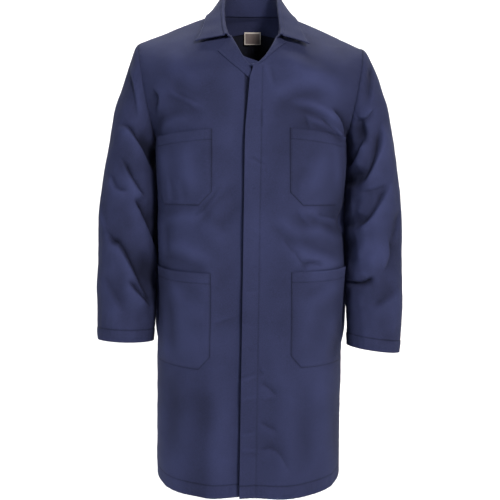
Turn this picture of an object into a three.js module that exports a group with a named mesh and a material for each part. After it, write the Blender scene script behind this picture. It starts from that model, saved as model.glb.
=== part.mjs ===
// Knee-length lab coat, worn shape. Millimetres, +Z up, the front faces -Y, +X is the wearer's left.
// The origin is the point where neck and shoulder seam meet, on the middle plane of the coat.
import * as THREE from "three";

// Torso
const coatLength = 1000; // neck point down to the front hem
const hemRise = 14; // the hem is this much higher at the side seams
const neckHalf = 75; // neck point to the middle plane
const shoulderHalf = 242; // shoulder tip to the middle plane
const shoulderDrop = 70; // shoulder tip below the neck point
const armpitDepth = 270; // armpit below the neck point
const armpitHalf = 208.4;
const waistHalf = 194;
const hipHalf = 197;
const hemHalf = 196;
const armholeFront = 75; // half depths of the armhole about the shoulder seam
const armholeBack = 85;
const breakDepth = 142; // where the front opening closes, below the neck point
const frontAtBreak = 138; // front half depth at the break and at the hem, straight between
const frontAtHem = 152;
const backAtArmpit = 128;
const backAtWaist = 112;
const backAtHem = 136;
const backNeckDepth = 70; // middle of the back neckline behind the shoulder seam
const backNeckRise = 18;
const sectionPower = 0.87; // 1 is a plain ellipse, less is squarer
const flatAngle = 9; // degrees either side of the middle over which the front is flat, for the closure

// Cloth and gaps
const clothThick = 1.2;
const layerGap = 0.3;
const seamGap = 0.3; // half the gap between two panels at a seam
const patchGap = 1.5; // under the rim of a piece that is laid on a panel
const lapelGap = 0.8; // under the outer edge of a lapel, and how much more at its fold

// Front closure
const foldTopX = 23; // top and bottom of the straight stitched line that the band folds on
const foldBottomX = 10;
const bandReach = 33; // stitched line to the band's free edge
const bandTopReach = 23;
const flyInset = 4; // the concealed strip ends this much before the band's edge
const underReach = 30; // the right front runs this far past the middle plane
const underBlend = 62; // over this width the right front steps down under the left
const snapCount = 4;
const snapTop = 236; // first snap below the neck point
const snapPitch = 157;
const snapFromFold = 10;
const snapRadius = 5.5;
const ringThick = 1;
const socketThick = 2;
const socketBore = 2.9;
const studRadius = 5;
const studFlange = 1.6;
const studPost = 1.7;
const studReach = 0.9; // post height inside the socket

// Collar, lapels
const gorgeDepth = 66; // front end of the collar seam below the neck point
const collarRise = 61; // fold of the collar at the back, above the neck point
const collarFold = 3.6; // radius of the fold
const collarBackDrop = 4; // outer edge at the back, above the neck point
const collarPointX = 115;
const collarPointDepth = 85;
const collarUneven = 11; // the left front end of the collar sits this much further out than the right
const layerThick = 1;
const interlineThick = 0.6;

// Pockets: top, height, inner edge, outer edge as an angle round the body, mitre
const chestPocket = { top: 272, tall: 150, inner: 78, outerAngle: 68, mitre: 26 };
const lowerPocket = { top: 552, tall: 195, inner: 80, outerAngle: 76, mitre: 25 };
const pocketPuff = 7.5; // how far a pocket stands off the front, halfway across its mouth

// Sleeves
const sleeveEndDepth = 722; // middle of the cuff below the neck point
const sleeveGap = 12; // inner side of a hanging sleeve to the torso's side at the waist
const elbowHalfDepth = 68;
const cuffHalfDepth = 52;
const cuffOuter = 327;
const cuffForward = 26; // the cuff hangs this far in front of the shoulder seam

// Neck label
const labelWide = 38;
const labelTall = 27;
const labelThick = 0.8;

// Grid steps
const columns = 12;
const lowerRows = 9;
const backRowSteps = [0.125, 0.25, 0.375, 0.5, 0.65, 0.8, 0.9, 1];
const facingColumns = 3;
const ringSides = 20;

const neckZ = 0;
const tipZ = neckZ - shoulderDrop;
const pitZ = neckZ - armpitDepth;
const breakZ = neckZ - breakDepth;
const hemZ = neckZ - coatLength;
const gorgeZ = neckZ - gorgeDepth;

const group = new THREE.Group();
const vec = (x, y, z) => new THREE.Vector3(x, y, z);
const mix = (a, b, f) => a + (b - a) * f;
const clamp01 = (f) => Math.min(1, Math.max(0, f));
const smooth = (f) => clamp01(f) ** 2 * (3 - 2 * clamp01(f));
const steps = (n) => Array.from({ length: n + 1 }, (_, i) => i / n);
const signedPower = (f, p) => Math.sign(f) * Math.abs(f) ** p;
const degrees = Math.PI / 180;

// Smooth value through [place, value] knots in rising order of place.
function along(knots, place) {
  let k = 0;
  while (k < knots.length - 2 && place > knots[k + 1][0]) k += 1;
  const [a, b] = [knots[k], knots[k + 1]];
  return mix(a[1], b[1], smooth((place - a[0]) / (b[0] - a[0])));
}

// ---- Body surfaces -------------------------------------------------------

// Share of the way from the hem (0) to the armpit (1).
const lowerShare = (z) => clamp01((z - hemZ) / (pitZ - hemZ));

function torsoHalf(z) {
  const knots = [[0, hemHalf], [0.5, hipHalf], [0.75, waistHalf], [1, armpitHalf]];
  return along(knots, lowerShare(z));
}

function frontDepth(z) {
  return mix(frontAtHem, frontAtBreak, clamp01((z - hemZ) / (breakZ - hemZ)));
}

function backDepth(z) {
  const knots = [[0, backAtHem], [0.72, backAtWaist], [1, backAtArmpit]];
  return along(knots, lowerShare(z));
}

// Point of the armhole, t = 0 at the armpit and 1 at the shoulder tip.
function armholePoint(t, depth) {
  const rise = (1 - Math.cos(Math.PI * t)) / 2;
  return vec(mix(armpitHalf, shoulderHalf, rise), depth * Math.sin(Math.PI * t), mix(pitZ, tipZ, rise));
}

// Line where the lapel folds, as the distance from the middle plane. The two sides open differently.
const rollPower = { left: 0.45, right: 0.8 };
function rollX(side, z) {
  return neckHalf * clamp01((z - breakZ) / breakDepth) ** rollPower[side];
}

const foldX = (z) => mix(foldBottomX, foldTopX, clamp01((z - hemZ) / (breakZ - hemZ)));

const lastAngle = (t) => degrees * (90 - 40 * smooth(t / 0.35));

// Share of the front's depth at an angle round the body: flat in the middle, then round to the side.
function frontShare(angle) {
  const bent = Math.max(0, Math.abs(angle) - flatAngle * degrees) / (1 - flatAngle / 90);
  return Math.abs(Math.cos(bent)) ** sectionPower;
}

// Front of one side, unmirrored. row is -1 at the hem, 0 at the armpit, 1 at the shoulder seam;
// angle is 0 at the middle plane or the roll line, and largest at the side seam or the armhole.
function frontPoint(side, row, angle) {
  const c = frontShare(angle);
  const s = signedPower(Math.sin(angle), sectionPower);
  if (row <= 0) {
    const z = mix(pitZ, hemZ, -row) + hemRise * Math.sin(angle) ** 2 * row * row;
    return vec(torsoHalf(z) * s, -frontDepth(z) * c - seamGap, z);
  }
  const last = lastAngle(row);
  const across = s / Math.sin(last) ** sectionPower;
  const endC = frontShare(last);
  const outer = armholePoint(row, -armholeFront);
  const z = mix(pitZ, neckZ, (1 - Math.cos(Math.PI * row)) / 2);
  const up = clamp01((z - breakZ) / breakDepth);
  const innerX = rollX(side, z);
  const innerY = -frontDepth(z) * (1 - up ** 1.5);
  return vec(
    mix(innerX, outer.x, across),
    mix(outer.y, innerY, (c - endC) / (1 - endC)) - seamGap,
    mix(z, outer.z, Math.max(0, across) ** 1.15),
  );
}

const angleOf = (x, z) => Math.asin(signedPower(clamp01(Math.abs(x) / torsoHalf(z)), 1 / sectionPower)) * Math.sign(x);

// Angle at which a row of the front starts, for an edge at startX from the middle plane.
function startAngle(side, row, startX) {
  if (row <= 0) return angleOf(startX, mix(pitZ, hemZ, -row));
  const z = mix(pitZ, neckZ, (1 - Math.cos(Math.PI * row)) / 2);
  const outer = armholePoint(row, 0);
  const share = (startX - rollX(side, z)) / (outer.x - rollX(side, z));
  const sine = Math.abs(share) ** (1 / sectionPower) * Math.sin(lastAngle(row));
  return Math.asin(sine) * Math.sign(share);
}

const rowZ = (row) => (row <= 0 ? mix(pitZ, hemZ, -row) : mix(pitZ, neckZ, (1 - Math.cos(Math.PI * row)) / 2));

// Edge of each front nearest the middle: the stitched line, or the hidden edge of the right front.
function frontEdgeX(side, z) {
  const closed = side === "left" ? foldX(z) + seamGap : -underReach;
  if (z <= breakZ) return closed;
  return side === "left" ? Math.max(rollX(side, z), closed) : mix(closed, rollX(side, z), smooth((z - breakZ) / 30));
}

function backPoint(row, angle) {
  const c = Math.cos(angle) ** sectionPower;
  const s = Math.sin(angle) ** sectionPower;
  if (row <= 0) {
    const z = mix(pitZ, hemZ, -row) + hemRise * row * row;
    return vec(torsoHalf(z) * s, backDepth(z) * c + seamGap, z);
  }
  const last = lastAngle(row);
  const across = s / Math.sin(last) ** sectionPower;
  const endC = Math.cos(last) ** sectionPower;
  const outer = armholePoint(row, armholeBack);
  const z = mix(pitZ, neckZ + backNeckRise, (1 - Math.cos(Math.PI * row)) / 2);
  const innerY = mix(backNeckDepth, backAtArmpit, Math.cos((Math.PI * row) / 2));
  const p = vec(
    outer.x * across,
    mix(outer.y, innerY, (c - endC) / (1 - endC)) + seamGap,
    mix(z, outer.z, across ** 1.15),
  );
  return p.add(topLine(p.x).sub(backTop(p.x, across)).multiplyScalar(row ** 6));
}

// Back neckline and shoulder seam as one line, and the plain surface line that they replace.
function topLine(x) {
  if (x >= neckHalf) {
    const share = (x - neckHalf) / (shoulderHalf - neckHalf);
    return vec(0, seamGap, neckZ - shoulderDrop * share ** 1.15);
  }
  const round = Math.sqrt(1 - (x / neckHalf) ** 2);
  return vec(0, backNeckDepth * round + seamGap, neckZ + backNeckRise * round);
}

function backTop(x, across) {
  const last = lastAngle(1);
  const angle = Math.asin(Math.min(1, across ** (1 / sectionPower) * Math.sin(last)));
  const endC = Math.cos(last) ** sectionPower;
  const c = (Math.cos(angle) ** sectionPower - endC) / (1 - endC);
  return vec(0, backNeckDepth * c + seamGap, mix(neckZ + backNeckRise, tipZ, across ** 1.15));
}

// ---- Shells --------------------------------------------------------------

// Outward normals of a grid, from the neighbours of each point.
function gridNormals(grid, flip) {
  const last = grid.length - 1;
  return grid.map((line, i) =>
    line.map((_, j) => {
      const end = line.length - 1;
      const du = grid[Math.min(i + 1, last)][j].clone().sub(grid[Math.max(i - 1, 0)][j]);
      const dv = line[Math.min(j + 1, end)].clone().sub(line[Math.max(j - 1, 0)]);
      return du.cross(dv).normalize().multiplyScalar(flip);
    }),
  );
}

// Normals of a torso panel: square to the seams on its last column and on its top row.
function panelNormals(grid, flip) {
  const normals = gridNormals(grid, flip);
  normals.forEach((line, i) => {
    if (i <= lowerRows) line[columns].setY(0).normalize();
  });
  normals[normals.length - 1].forEach((n, j) => {
    if (Math.abs(grid[grid.length - 1][j].y) < 1) n.setY(0).normalize();
  });
  return normals;
}

function offsetGrid(grid, normals, distance) {
  return grid.map((line, i) =>
    line.map((p, j) => {
      const d = typeof distance === "function" ? distance(p, i, j) : distance;
      return p.clone().addScaledVector(normals[i][j], d);
    }),
  );
}

// Closed solid between two matching grids; closed grids join their last column to the first.
// Columns before mirrorBefore are split along the other diagonal, as on a mirrored panel.
function shell(a, b, closed = false, mirrorBefore = 0) {
  const positions = [];
  const triangle = (p, q, r) => positions.push(...p, ...q, ...r);
  const quad = (p, q, r, s) => {
    triangle(p, q, r);
    triangle(p, r, s);
  };
  const face = (g, i, j, k, turn) => {
    const [p, q, r, s] = [g[i][j], g[i][k], g[i + 1][k], g[i + 1][j]];
    const corners = j < mirrorBefore ? [q, r, s, p] : [p, q, r, s];
    quad(...(turn ? [corners[0], corners[3], corners[2], corners[1]] : corners));
  };
  const rows = a.length - 1;
  const cols = a[0].length - (closed ? 0 : 1);
  const next = (j) => (closed ? (j + 1) % a[0].length : j + 1);
  for (let i = 0; i < rows; i += 1) {
    for (let j = 0; j < cols; j += 1) {
      face(a, i, j, next(j), false);
      face(b, i, j, next(j), true);
    }
    if (closed) continue;
    quad(a[i][0], a[i + 1][0], b[i + 1][0], b[i][0]);
    quad(a[i][cols], b[i][cols], b[i + 1][cols], a[i + 1][cols]);
  }
  for (let j = 0; j < cols; j += 1) {
    quad(a[0][j], b[0][j], b[0][next(j)], a[0][next(j)]);
    quad(a[rows][j], a[rows][next(j)], b[rows][next(j)], b[rows][j]);
  }
  return faceOut(positions);
}

// Geometry from a flat list of corners, turned round if it faces inwards.
function faceOut(positions) {
  let volume = 0;
  for (let k = 0; k < positions.length; k += 9) {
    const [p, q, r] = [0, 3, 6].map((o) => vec(...positions.slice(k + o, k + o + 3)));
    volume += p.dot(q.cross(r));
  }
  if (volume < 0) {
    for (let k = 0; k < positions.length; k += 9) {
      const second = positions.slice(k + 3, k + 6);
      positions.splice(k + 3, 6, ...positions.slice(k + 6, k + 9), ...second);
    }
  }
  const geometry = new THREE.BufferGeometry();
  geometry.setAttribute("position", new THREE.Float32BufferAttribute(positions, 3));
  geometry.computeVertexNormals();
  return geometry;
}

const mirrorX = (grid) => grid.map((line) => line.map((p) => vec(-p.x, p.y, p.z)));

const navy = { color: 0x343854, roughness: 0.88, metalness: 0 };
const navyDark = { color: 0x2c2f49, roughness: 0.9, metalness: 0 };
const felt = { color: 0x55566a, roughness: 0.95, metalness: 0 };
const brass = { color: 0xb49a5e, roughness: 0.35, metalness: 1 };
const cream = { color: 0xd9d6cf, roughness: 0.8, metalness: 0 };

function add(name, geometry, look) {
  const mesh = new THREE.Mesh(geometry, new THREE.MeshStandardMaterial(look));
  mesh.name = name;
  group.add(mesh);
}

// ---- Torso panels and facings --------------------------------------------

// How far the right front steps in, to pass under the left one.
const closureDepth =
  clothThick + layerGap + ringThick + layerGap + clothThick + layerGap + socketThick + layerGap + studFlange + layerGap;
function underlap(side, x, z) {
  if (side === "left") return 0;
  const share = smooth((underBlend + underReach - x) / underBlend);
  return -closureDepth * share * (1 - smooth((z - breakZ) / (breakDepth / 2)));
}

function frontGrid(side) {
  const rows = [...steps(lowerRows).map((f) => f - 1), ...steps(8).slice(1)];
  return rows.map((row) => {
    const from = startAngle(side, row, frontEdgeX(side, rowZ(row)));
    const to = row <= 0 ? Math.PI / 2 : lastAngle(row);
    return steps(columns).map((f) => frontPoint(side, row, mix(from, to, f)));
  });
}

function backGrid() {
  const rows = [...steps(lowerRows).map((f) => f - 1), ...backRowSteps];
  return rows.map((row) => {
    const to = row <= 0 ? Math.PI / 2 : lastAngle(row);
    return steps(columns).map((f) => backPoint(row, to * f));
  });
}

// Armhole edges stand back from the armhole plane, so that the sleeve head can turn in it.
const armholeNormal = vec(tipZ - pitZ, 0, armpitHalf - shoulderHalf).normalize();
function trimArmhole(grid) {
  for (let i = lowerRows; i < grid.length; i += 1) {
    grid[i][columns].addScaledVector(armholeNormal, -seamGap);
  }
  return grid;
}

for (const side of ["left", "right"]) {
  const place = side === "left" ? (g) => g : mirrorX;
  const grid = trimArmhole(frontGrid(side));
  const normals = panelNormals(grid, -1);
  const step = (depth) => (p) => underlap(side, p.x, p.z) - depth;
  const outer = place(offsetGrid(grid, normals, step(0)));
  const inner = place(offsetGrid(grid, normals, step(clothThick)));
  add(`${side}_front_panel`, shell(outer, inner), navy);

  const strip = (g) => g.map((line) => line.slice(0, facingColumns + 1));
  const facingDepth = clothThick + layerGap;
  const facingOuter = place(strip(offsetGrid(grid, normals, step(facingDepth))));
  const facingInner = place(strip(offsetGrid(grid, normals, step(facingDepth + clothThick))));
  add(`${side}_front_facing`, shell(facingOuter, facingInner), navyDark);

  const back = trimArmhole(backGrid());
  back.forEach((line) => (line[0].x = seamGap));
  const backNormals = panelNormals(back, 1);
  backNormals.forEach((line) => line[0].setX(0).normalize());
  const backOuter = place(back);
  const backInner = place(offsetGrid(back, backNormals, -clothThick));
  add(`${side}_back_panel`, shell(backOuter, backInner), navy);
}

// Facing inside the back neck, one piece across both back panels.
{
  const half = backGrid();
  const normals = panelNormals(half, 1);
  normals.forEach((line) => line[0].setX(0).normalize());
  const facing = (depth) => {
    const grid = offsetGrid(half, normals, -depth);
    return grid.slice(-3).map((line) => {
      const right = line.slice(1, 6).map((p) => vec(-p.x, p.y, p.z)).reverse();
      return [...right, vec(0, line[0].y, line[0].z), ...line.slice(1, 6)];
    });
  };
  const depth = clothThick + layerGap;
  add("back_neck_facing", shell(facing(depth), facing(depth + clothThick), false, 5), navyDark);
}

// ---- Front closure -------------------------------------------------------

const frontY = (x, z) => frontPoint("left", rowOfZ(z), angleOf(x, z)).y;
const rowOfZ = (z) => (z <= pitZ ? (z - pitZ) / (pitZ - hemZ) : Math.acos(1 - (2 * (z - pitZ)) / (neckZ - pitZ)) / Math.PI);

// Band or strip between the fold line and a free edge, cut to the roll line at the top.
function bandGrid(inset, drop, depth) {
  return steps(14).map((w) =>
    steps(3).map((c) => {
      const topX = mix(foldTopX - seamGap, foldTopX - bandTopReach + inset, c);
      const topZ = breakZ - drop + breakDepth * (topX / neckHalf) ** (1 / rollPower.left);
      const z = mix(hemZ + (drop ? 4 : 0), topZ, w);
      const reach = along([[0, bandReach], [0.85, bandReach], [1, bandTopReach]], lowerReach(z));
      const x = mix(foldX(z) - seamGap, foldX(z) - reach + inset, c);
      return vec(x, -frontDepth(z) * frontShare(angleOf(x, z)) - seamGap + depth, z);
    }),
  );
}
const lowerReach = (z) => clamp01((z - hemZ) / (breakZ - hemZ));

const flyDepth = clothThick + layerGap + ringThick + layerGap;
add("front_band", shell(bandGrid(0, 0, 0), bandGrid(0, 0, clothThick)), navy);
add("fly_strip", shell(bandGrid(flyInset, 8, flyDepth), bandGrid(flyInset, 8, flyDepth + clothThick)), navyDark);

// Turned piece on an axis along Y: profile is [radius, depth] pairs, depth grows into the coat.
function turned(profile, x, z) {
  const geometry = new THREE.LatheGeometry(profile.map(([r, d]) => new THREE.Vector2(r, d)), 12);
  geometry.translate(x, frontY(x, z), z * 0);
  geometry.applyMatrix4(new THREE.Matrix4().makeTranslation(0, 0, z));
  return geometry;
}

// Ring of given radii between two depths.
const ringProfile = (hole, radius, from, to) => [[hole, from], [radius, from], [radius, to], [hole, to], [hole, from]];

for (let k = 0; k < snapCount; k += 1) {
  const z = neckZ - snapTop - snapPitch * k;
  const x = foldX(z) - snapFromFold;
  const bandRing = clothThick + layerGap;
  const socket = flyDepth + clothThick + layerGap;
  const flange = socket + socketThick + layerGap;
  const backRing = closureDepth + 2 * clothThick + 2 * layerGap;
  const name = k + 1;
  add(`socket_ring_${name}`, turned(ringProfile(2, snapRadius, bandRing, bandRing + ringThick), x, z), brass);
  add(`snap_socket_${name}`, turned(ringProfile(socketBore, snapRadius, socket, socket + socketThick), x, z), brass);
  const stud = [
    [0, flange - layerGap - studReach],
    [studPost, flange - layerGap - studReach],
    [studPost, flange],
    [studRadius, flange],
    [studRadius, flange + studFlange],
    [0, flange + studFlange],
  ];
  add(`snap_stud_${name}`, turned(stud, x, z), brass);
  add(`stud_ring_${name}`, turned(ringProfile(2, studRadius, backRing, backRing + ringThick), x, z), brass);
}

// ---- Pockets -------------------------------------------------------------

// Patch on one front: corners cut off at the bottom, mouth open at the top.
function pocketGrid(pocket, lift) {
  const size = 7;
  return steps(size).map((v) =>
    steps(6).map((u) => {
      const z = neckZ - pocket.top - pocket.tall * v;
      const from = angleOf(pocket.inner, z);
      const to = pocket.outerAngle * degrees;
      const cut = Math.max(0, pocket.mitre - pocket.tall * (1 - v)) / pocket.tall;
      const angle = mix(from, to, mix(cut, 1 - cut, u));
      const p = vec(torsoHalf(z) * Math.sin(angle) ** sectionPower, -frontDepth(z) * frontShare(angle), z);
      const puff = pocketPuff * Math.sin(Math.PI * u) ** 0.6 * (1 - v ** 4);
      const out = vec(p.x / torsoHalf(z) ** 2, p.y / frontDepth(z) ** 2, 0).normalize();
      return p.addScaledVector(out, patchGap + puff + lift);
    }),
  );
}

for (const [name, pocket] of [["chest", chestPocket], ["lower", lowerPocket]]) {
  for (const side of ["left", "right"]) {
    const place = side === "left" ? (g) => g : mirrorX;
    const outer = place(pocketGrid(pocket, layerThick));
    add(`${side}_${name}_pocket`, shell(outer, place(pocketGrid(pocket, 0))), navy);
  }
}

// ---- Lapels --------------------------------------------------------------

// Row and angle of the front surface at a given x and z above the armpit.
function locate(side, x, z) {
  let row = rowOfZ(z);
  let angle = 0.2;
  for (let k = 0; k < 30; k += 1) {
    const p = frontPoint(side, row, angle);
    const e = 1e-4;
    const pr = frontPoint(side, row + e, angle).sub(p).divideScalar(e);
    const pa = frontPoint(side, row, angle + e).sub(p).divideScalar(e);
    const det = pr.x * pa.z - pa.x * pr.z;
    const [dx, dz] = [x - p.x, z - p.z];
    row = Math.min(0.995, Math.max(0.02, row + (dx * pa.z - pa.x * dz) / det));
    angle = Math.min(lastAngle(row), Math.max(0.002, angle + (pr.x * dz - dx * pr.z) / det));
  }
  return [row, angle];
}

// Folded-back lapel: rollLine and edgeLine are matching lists of [x, z].
function lapel(side, rollLine, edgeLine) {
  const point = (x, z, lift) => {
    const [row, angle] = locate(side, x, z);
    const e = 1e-3;
    const p = frontPoint(side, row, angle);
    const up = frontPoint(side, row + e, angle).sub(p);
    const along = frontPoint(side, row, angle + e).sub(p);
    const normal = up.cross(along).normalize().negate();
    return p.addScaledVector(normal, lift + underlap(side, x, z));
  };
  const grid = (lift) =>
    rollLine.map(([x, z], i) =>
      steps(3).map((v) => point(mix(x, edgeLine[i][0], v), mix(z, edgeLine[i][1], v), lift + lapelGap * (1 - v))),
    );
  const place = side === "left" ? (g) => g : mirrorX;
  return shell(place(grid(lapelGap + clothThick)), place(grid(lapelGap)));
}

const rollAt = (side, z, out) => [rollX(side, z) + out, z];
const rightRoll = [0.08, 0.19, 0.3, 0.41, 0.49].map((f) => rollAt("right", breakZ + breakDepth * f, 1.5));
const rightEdge = [[9, -161], [27, -145], [47, -127], [67, -110], [59, -94]];
add("right_lapel", lapel("right", rightRoll, rightEdge), navy);
const leftRoll = [0.1, 0.2, 0.3, 0.4, 0.49].map((f) => rollAt("left", breakZ + breakDepth * f, 1.5));
const leftEdge = [[31, -131], [40, -120], [51, -109], [62, -98], [72, -87]];
add("left_lapel", lapel("left", leftRoll, leftEdge), navy);

// ---- Collar --------------------------------------------------------------

// Smooth line through points, evenly spaced in u from 0 at the back to 1 at the front.
const curve = (points) => new THREE.CatmullRomCurve3(points.map((p) => vec(...p)), false, "centripetal");
const foldLine = curve([
  [-40, 55, collarRise],
  [0, 60, collarRise + 1],
  [38, 50, collarRise],
  [55, 14, collarRise * 0.8],
  [57, -34, 2],
  [53, -78, -45],
  [49, -93, -60],
]);
const fallLine = curve([
  [-62, 84, collarBackDrop],
  [0, 93, collarBackDrop + 2],
  [62, 82, collarBackDrop + 2],
  [104, 36, 2],
  [111, -22, -8],
  [114, -66, -48],
  [collarPointX, -103, -collarPointDepth],
]);

function seamPoint(u, side) {
  if (u < 0.5) {
    const turn = (Math.PI / 2) * (u / 0.5);
    const round = Math.cos(turn);
    return vec(neckHalf * Math.sin(turn), backNeckDepth * round, neckZ + backNeckRise * round);
  }
  const z = mix(neckZ, gorgeZ, (u - 0.5) / 0.5);
  const up = (z - breakZ) / breakDepth;
  return vec(rollX(side, z), -frontDepth(z) * (1 - up ** 1.5), z);
}

// Cross-section of the collar at u: up the stand, over the fold, down to the outer edge.
function collarLine(u, side) {
  const place = (1 + 5 * u) / 6;
  const fold = foldLine.getPoint(place);
  const edge = fallLine.getPoint(place);
  const wider = side === "left" ? smooth((u - 0.5) / 0.5) : 0;
  fold.x += collarUneven * wider;
  edge.x += (collarUneven / 2) * wider;
  const seam = seamPoint(u, side);
  const tangent = foldLine.getTangent(place);
  const out = vec(tangent.y, -tangent.x, 0).normalize().multiplyScalar(-1);
  if (out.x < 0 || (u < 0.1 && out.y < 0)) out.negate();
  const up = tangent.clone().cross(out).normalize();
  if (up.z < 0) up.negate();
  const stand = fold.clone().sub(seam);
  const low = seam.clone().addScaledVector(stand.clone().normalize(), 2);
  const far = fold.clone().addScaledVector(out, 2 * collarFold);
  const middle = fold.clone().addScaledVector(out, collarFold);
  const arc = [0.25, 0.5, 0.75].map((f) =>
    middle
      .clone()
      .addScaledVector(out, -collarFold * Math.cos(Math.PI * f))
      .addScaledVector(up, collarFold * Math.sin(Math.PI * f)),
  );
  return [
    low,
    low.clone().lerp(fold, 0.5),
    fold,
    ...arc,
    far,
    far.clone().lerp(edge, 0.5),
    edge,
  ];
}

{
  const us = steps(9);
  const grid = [
    ...us.slice(1).reverse().map((u) => mirrorX([collarLine(u, "right")])[0]),
    ...us.map((u) => collarLine(u, "left")),
  ];
  const normals = gridNormals(grid, 1);
  const middle = interlineThick / 2;
  const face = middle + layerGap;
  const layer = (g, from, to) => shell(offsetGrid(g, normals, from), offsetGrid(g, normals, to));
  add("under_collar", layer(grid, -face - layerThick, -face), navyDark);
  add("upper_collar", layer(grid, face, face + layerThick), navy);
  const inset = (g) => g.slice(1, -1).map((line) => line.slice(6, 8));
  const pad = (d) => inset(offsetGrid(grid, normals, d));
  add("collar_interlining", shell(pad(-middle), pad(middle)), felt);
}

// ---- Sleeves -------------------------------------------------------------

// Rings down the sleeve: outer and inner side as [x, z], half depth and middle in Y.
const sleeveInner = waistHalf + sleeveGap;
const sleeveDown = (f) => mix(pitZ, neckZ - sleeveEndDepth, f);
const rings = [
  { outer: [shoulderHalf, tipZ], inner: [armpitHalf, pitZ], front: armholeFront, back: armholeBack, middle: 0 },
  { outer: [257, tipZ - 23], inner: [209, pitZ - 8], front: 77, back: 85, middle: 0 },
  { outer: [272, tipZ - 57], inner: [209.5, pitZ - 17], front: 79, back: 84, middle: 0 },
  { outer: [286, tipZ - 98], inner: [209.5, pitZ - 30], front: 80, back: 82, middle: -1 },
  { outer: [299, sleeveDown(-0.13)], inner: [209, sleeveDown(0.12)], front: 80, back: 80, middle: -2 },
  { outer: [313, sleeveDown(0.05)], inner: [208, sleeveDown(0.22)], front: 78, back: 78, middle: -3 },
  { outer: [324, sleeveDown(0.2)], inner: [207, sleeveDown(0.34)], front: 75, back: 75, middle: -4 },
  { outer: [330, sleeveDown(0.36)], inner: [sleeveInner, sleeveDown(0.46)], front: 72, back: 72, middle: -6 },
  { outer: [332, sleeveDown(0.52)], inner: [sleeveInner, sleeveDown(0.58)], middle: -9 },
  { outer: [333, sleeveDown(0.68)], inner: [sleeveInner, sleeveDown(0.7)], middle: -13 },
  { outer: [332, sleeveDown(0.84)], inner: [sleeveInner + 1, sleeveDown(0.82)], middle: -19 },
  { outer: [330, sleeveDown(0.95)], inner: [sleeveInner + 3, sleeveDown(0.92)], middle: -24 },
  { outer: [cuffOuter, sleeveDown(1.02)], inner: [sleeveInner + 4, sleeveDown(0.97)], middle: -cuffForward },
];

function sleeveGrid(thick) {
  return rings.map((ring, i) => {
    const taper = mix(elbowHalfDepth, cuffHalfDepth, clamp01((i - 7) / 5));
    const middle = vec((ring.outer[0] + ring.inner[0]) / 2, ring.middle, (ring.outer[1] + ring.inner[1]) / 2);
    const across = vec(ring.outer[0] - middle.x, 0, ring.outer[1] - middle.z);
    return steps(ringSides).slice(1).map((f) => {
      const turn = 2 * Math.PI * f;
      const depth = Math.sin(turn) > 0 ? ring.back ?? taper : ring.front ?? taper;
      const p = across.clone().multiplyScalar(Math.cos(turn)).add(vec(0, depth * Math.sin(turn), 0));
      p.setLength(p.length() - thick);
      return p.add(middle).addScaledVector(armholeNormal, i === 0 ? seamGap : 0);
    });
  });
}

add("left_sleeve", shell(sleeveGrid(0), sleeveGrid(clothThick), true), navy);
add("right_sleeve", shell(mirrorX(sleeveGrid(0)), mirrorX(sleeveGrid(clothThick)), true), navy);

// ---- Neck label ----------------------------------------------------------

{
  const top = backPoint(0.8, 0);
  const low = backPoint(0.65, 0);
  const lean = Math.atan2(low.y - top.y, top.z - low.z);
  const plate = new THREE.BoxGeometry(labelWide, labelThick, labelTall);
  plate.translate(4, -(2 * clothThick + 2 * layerGap + labelThick + 2.6), -labelTall / 2 - 1);
  plate.rotateX(lean);
  plate.translate(0, top.y, top.z);
  add("neck_label", plate, cream);
}

export default group;
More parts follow.
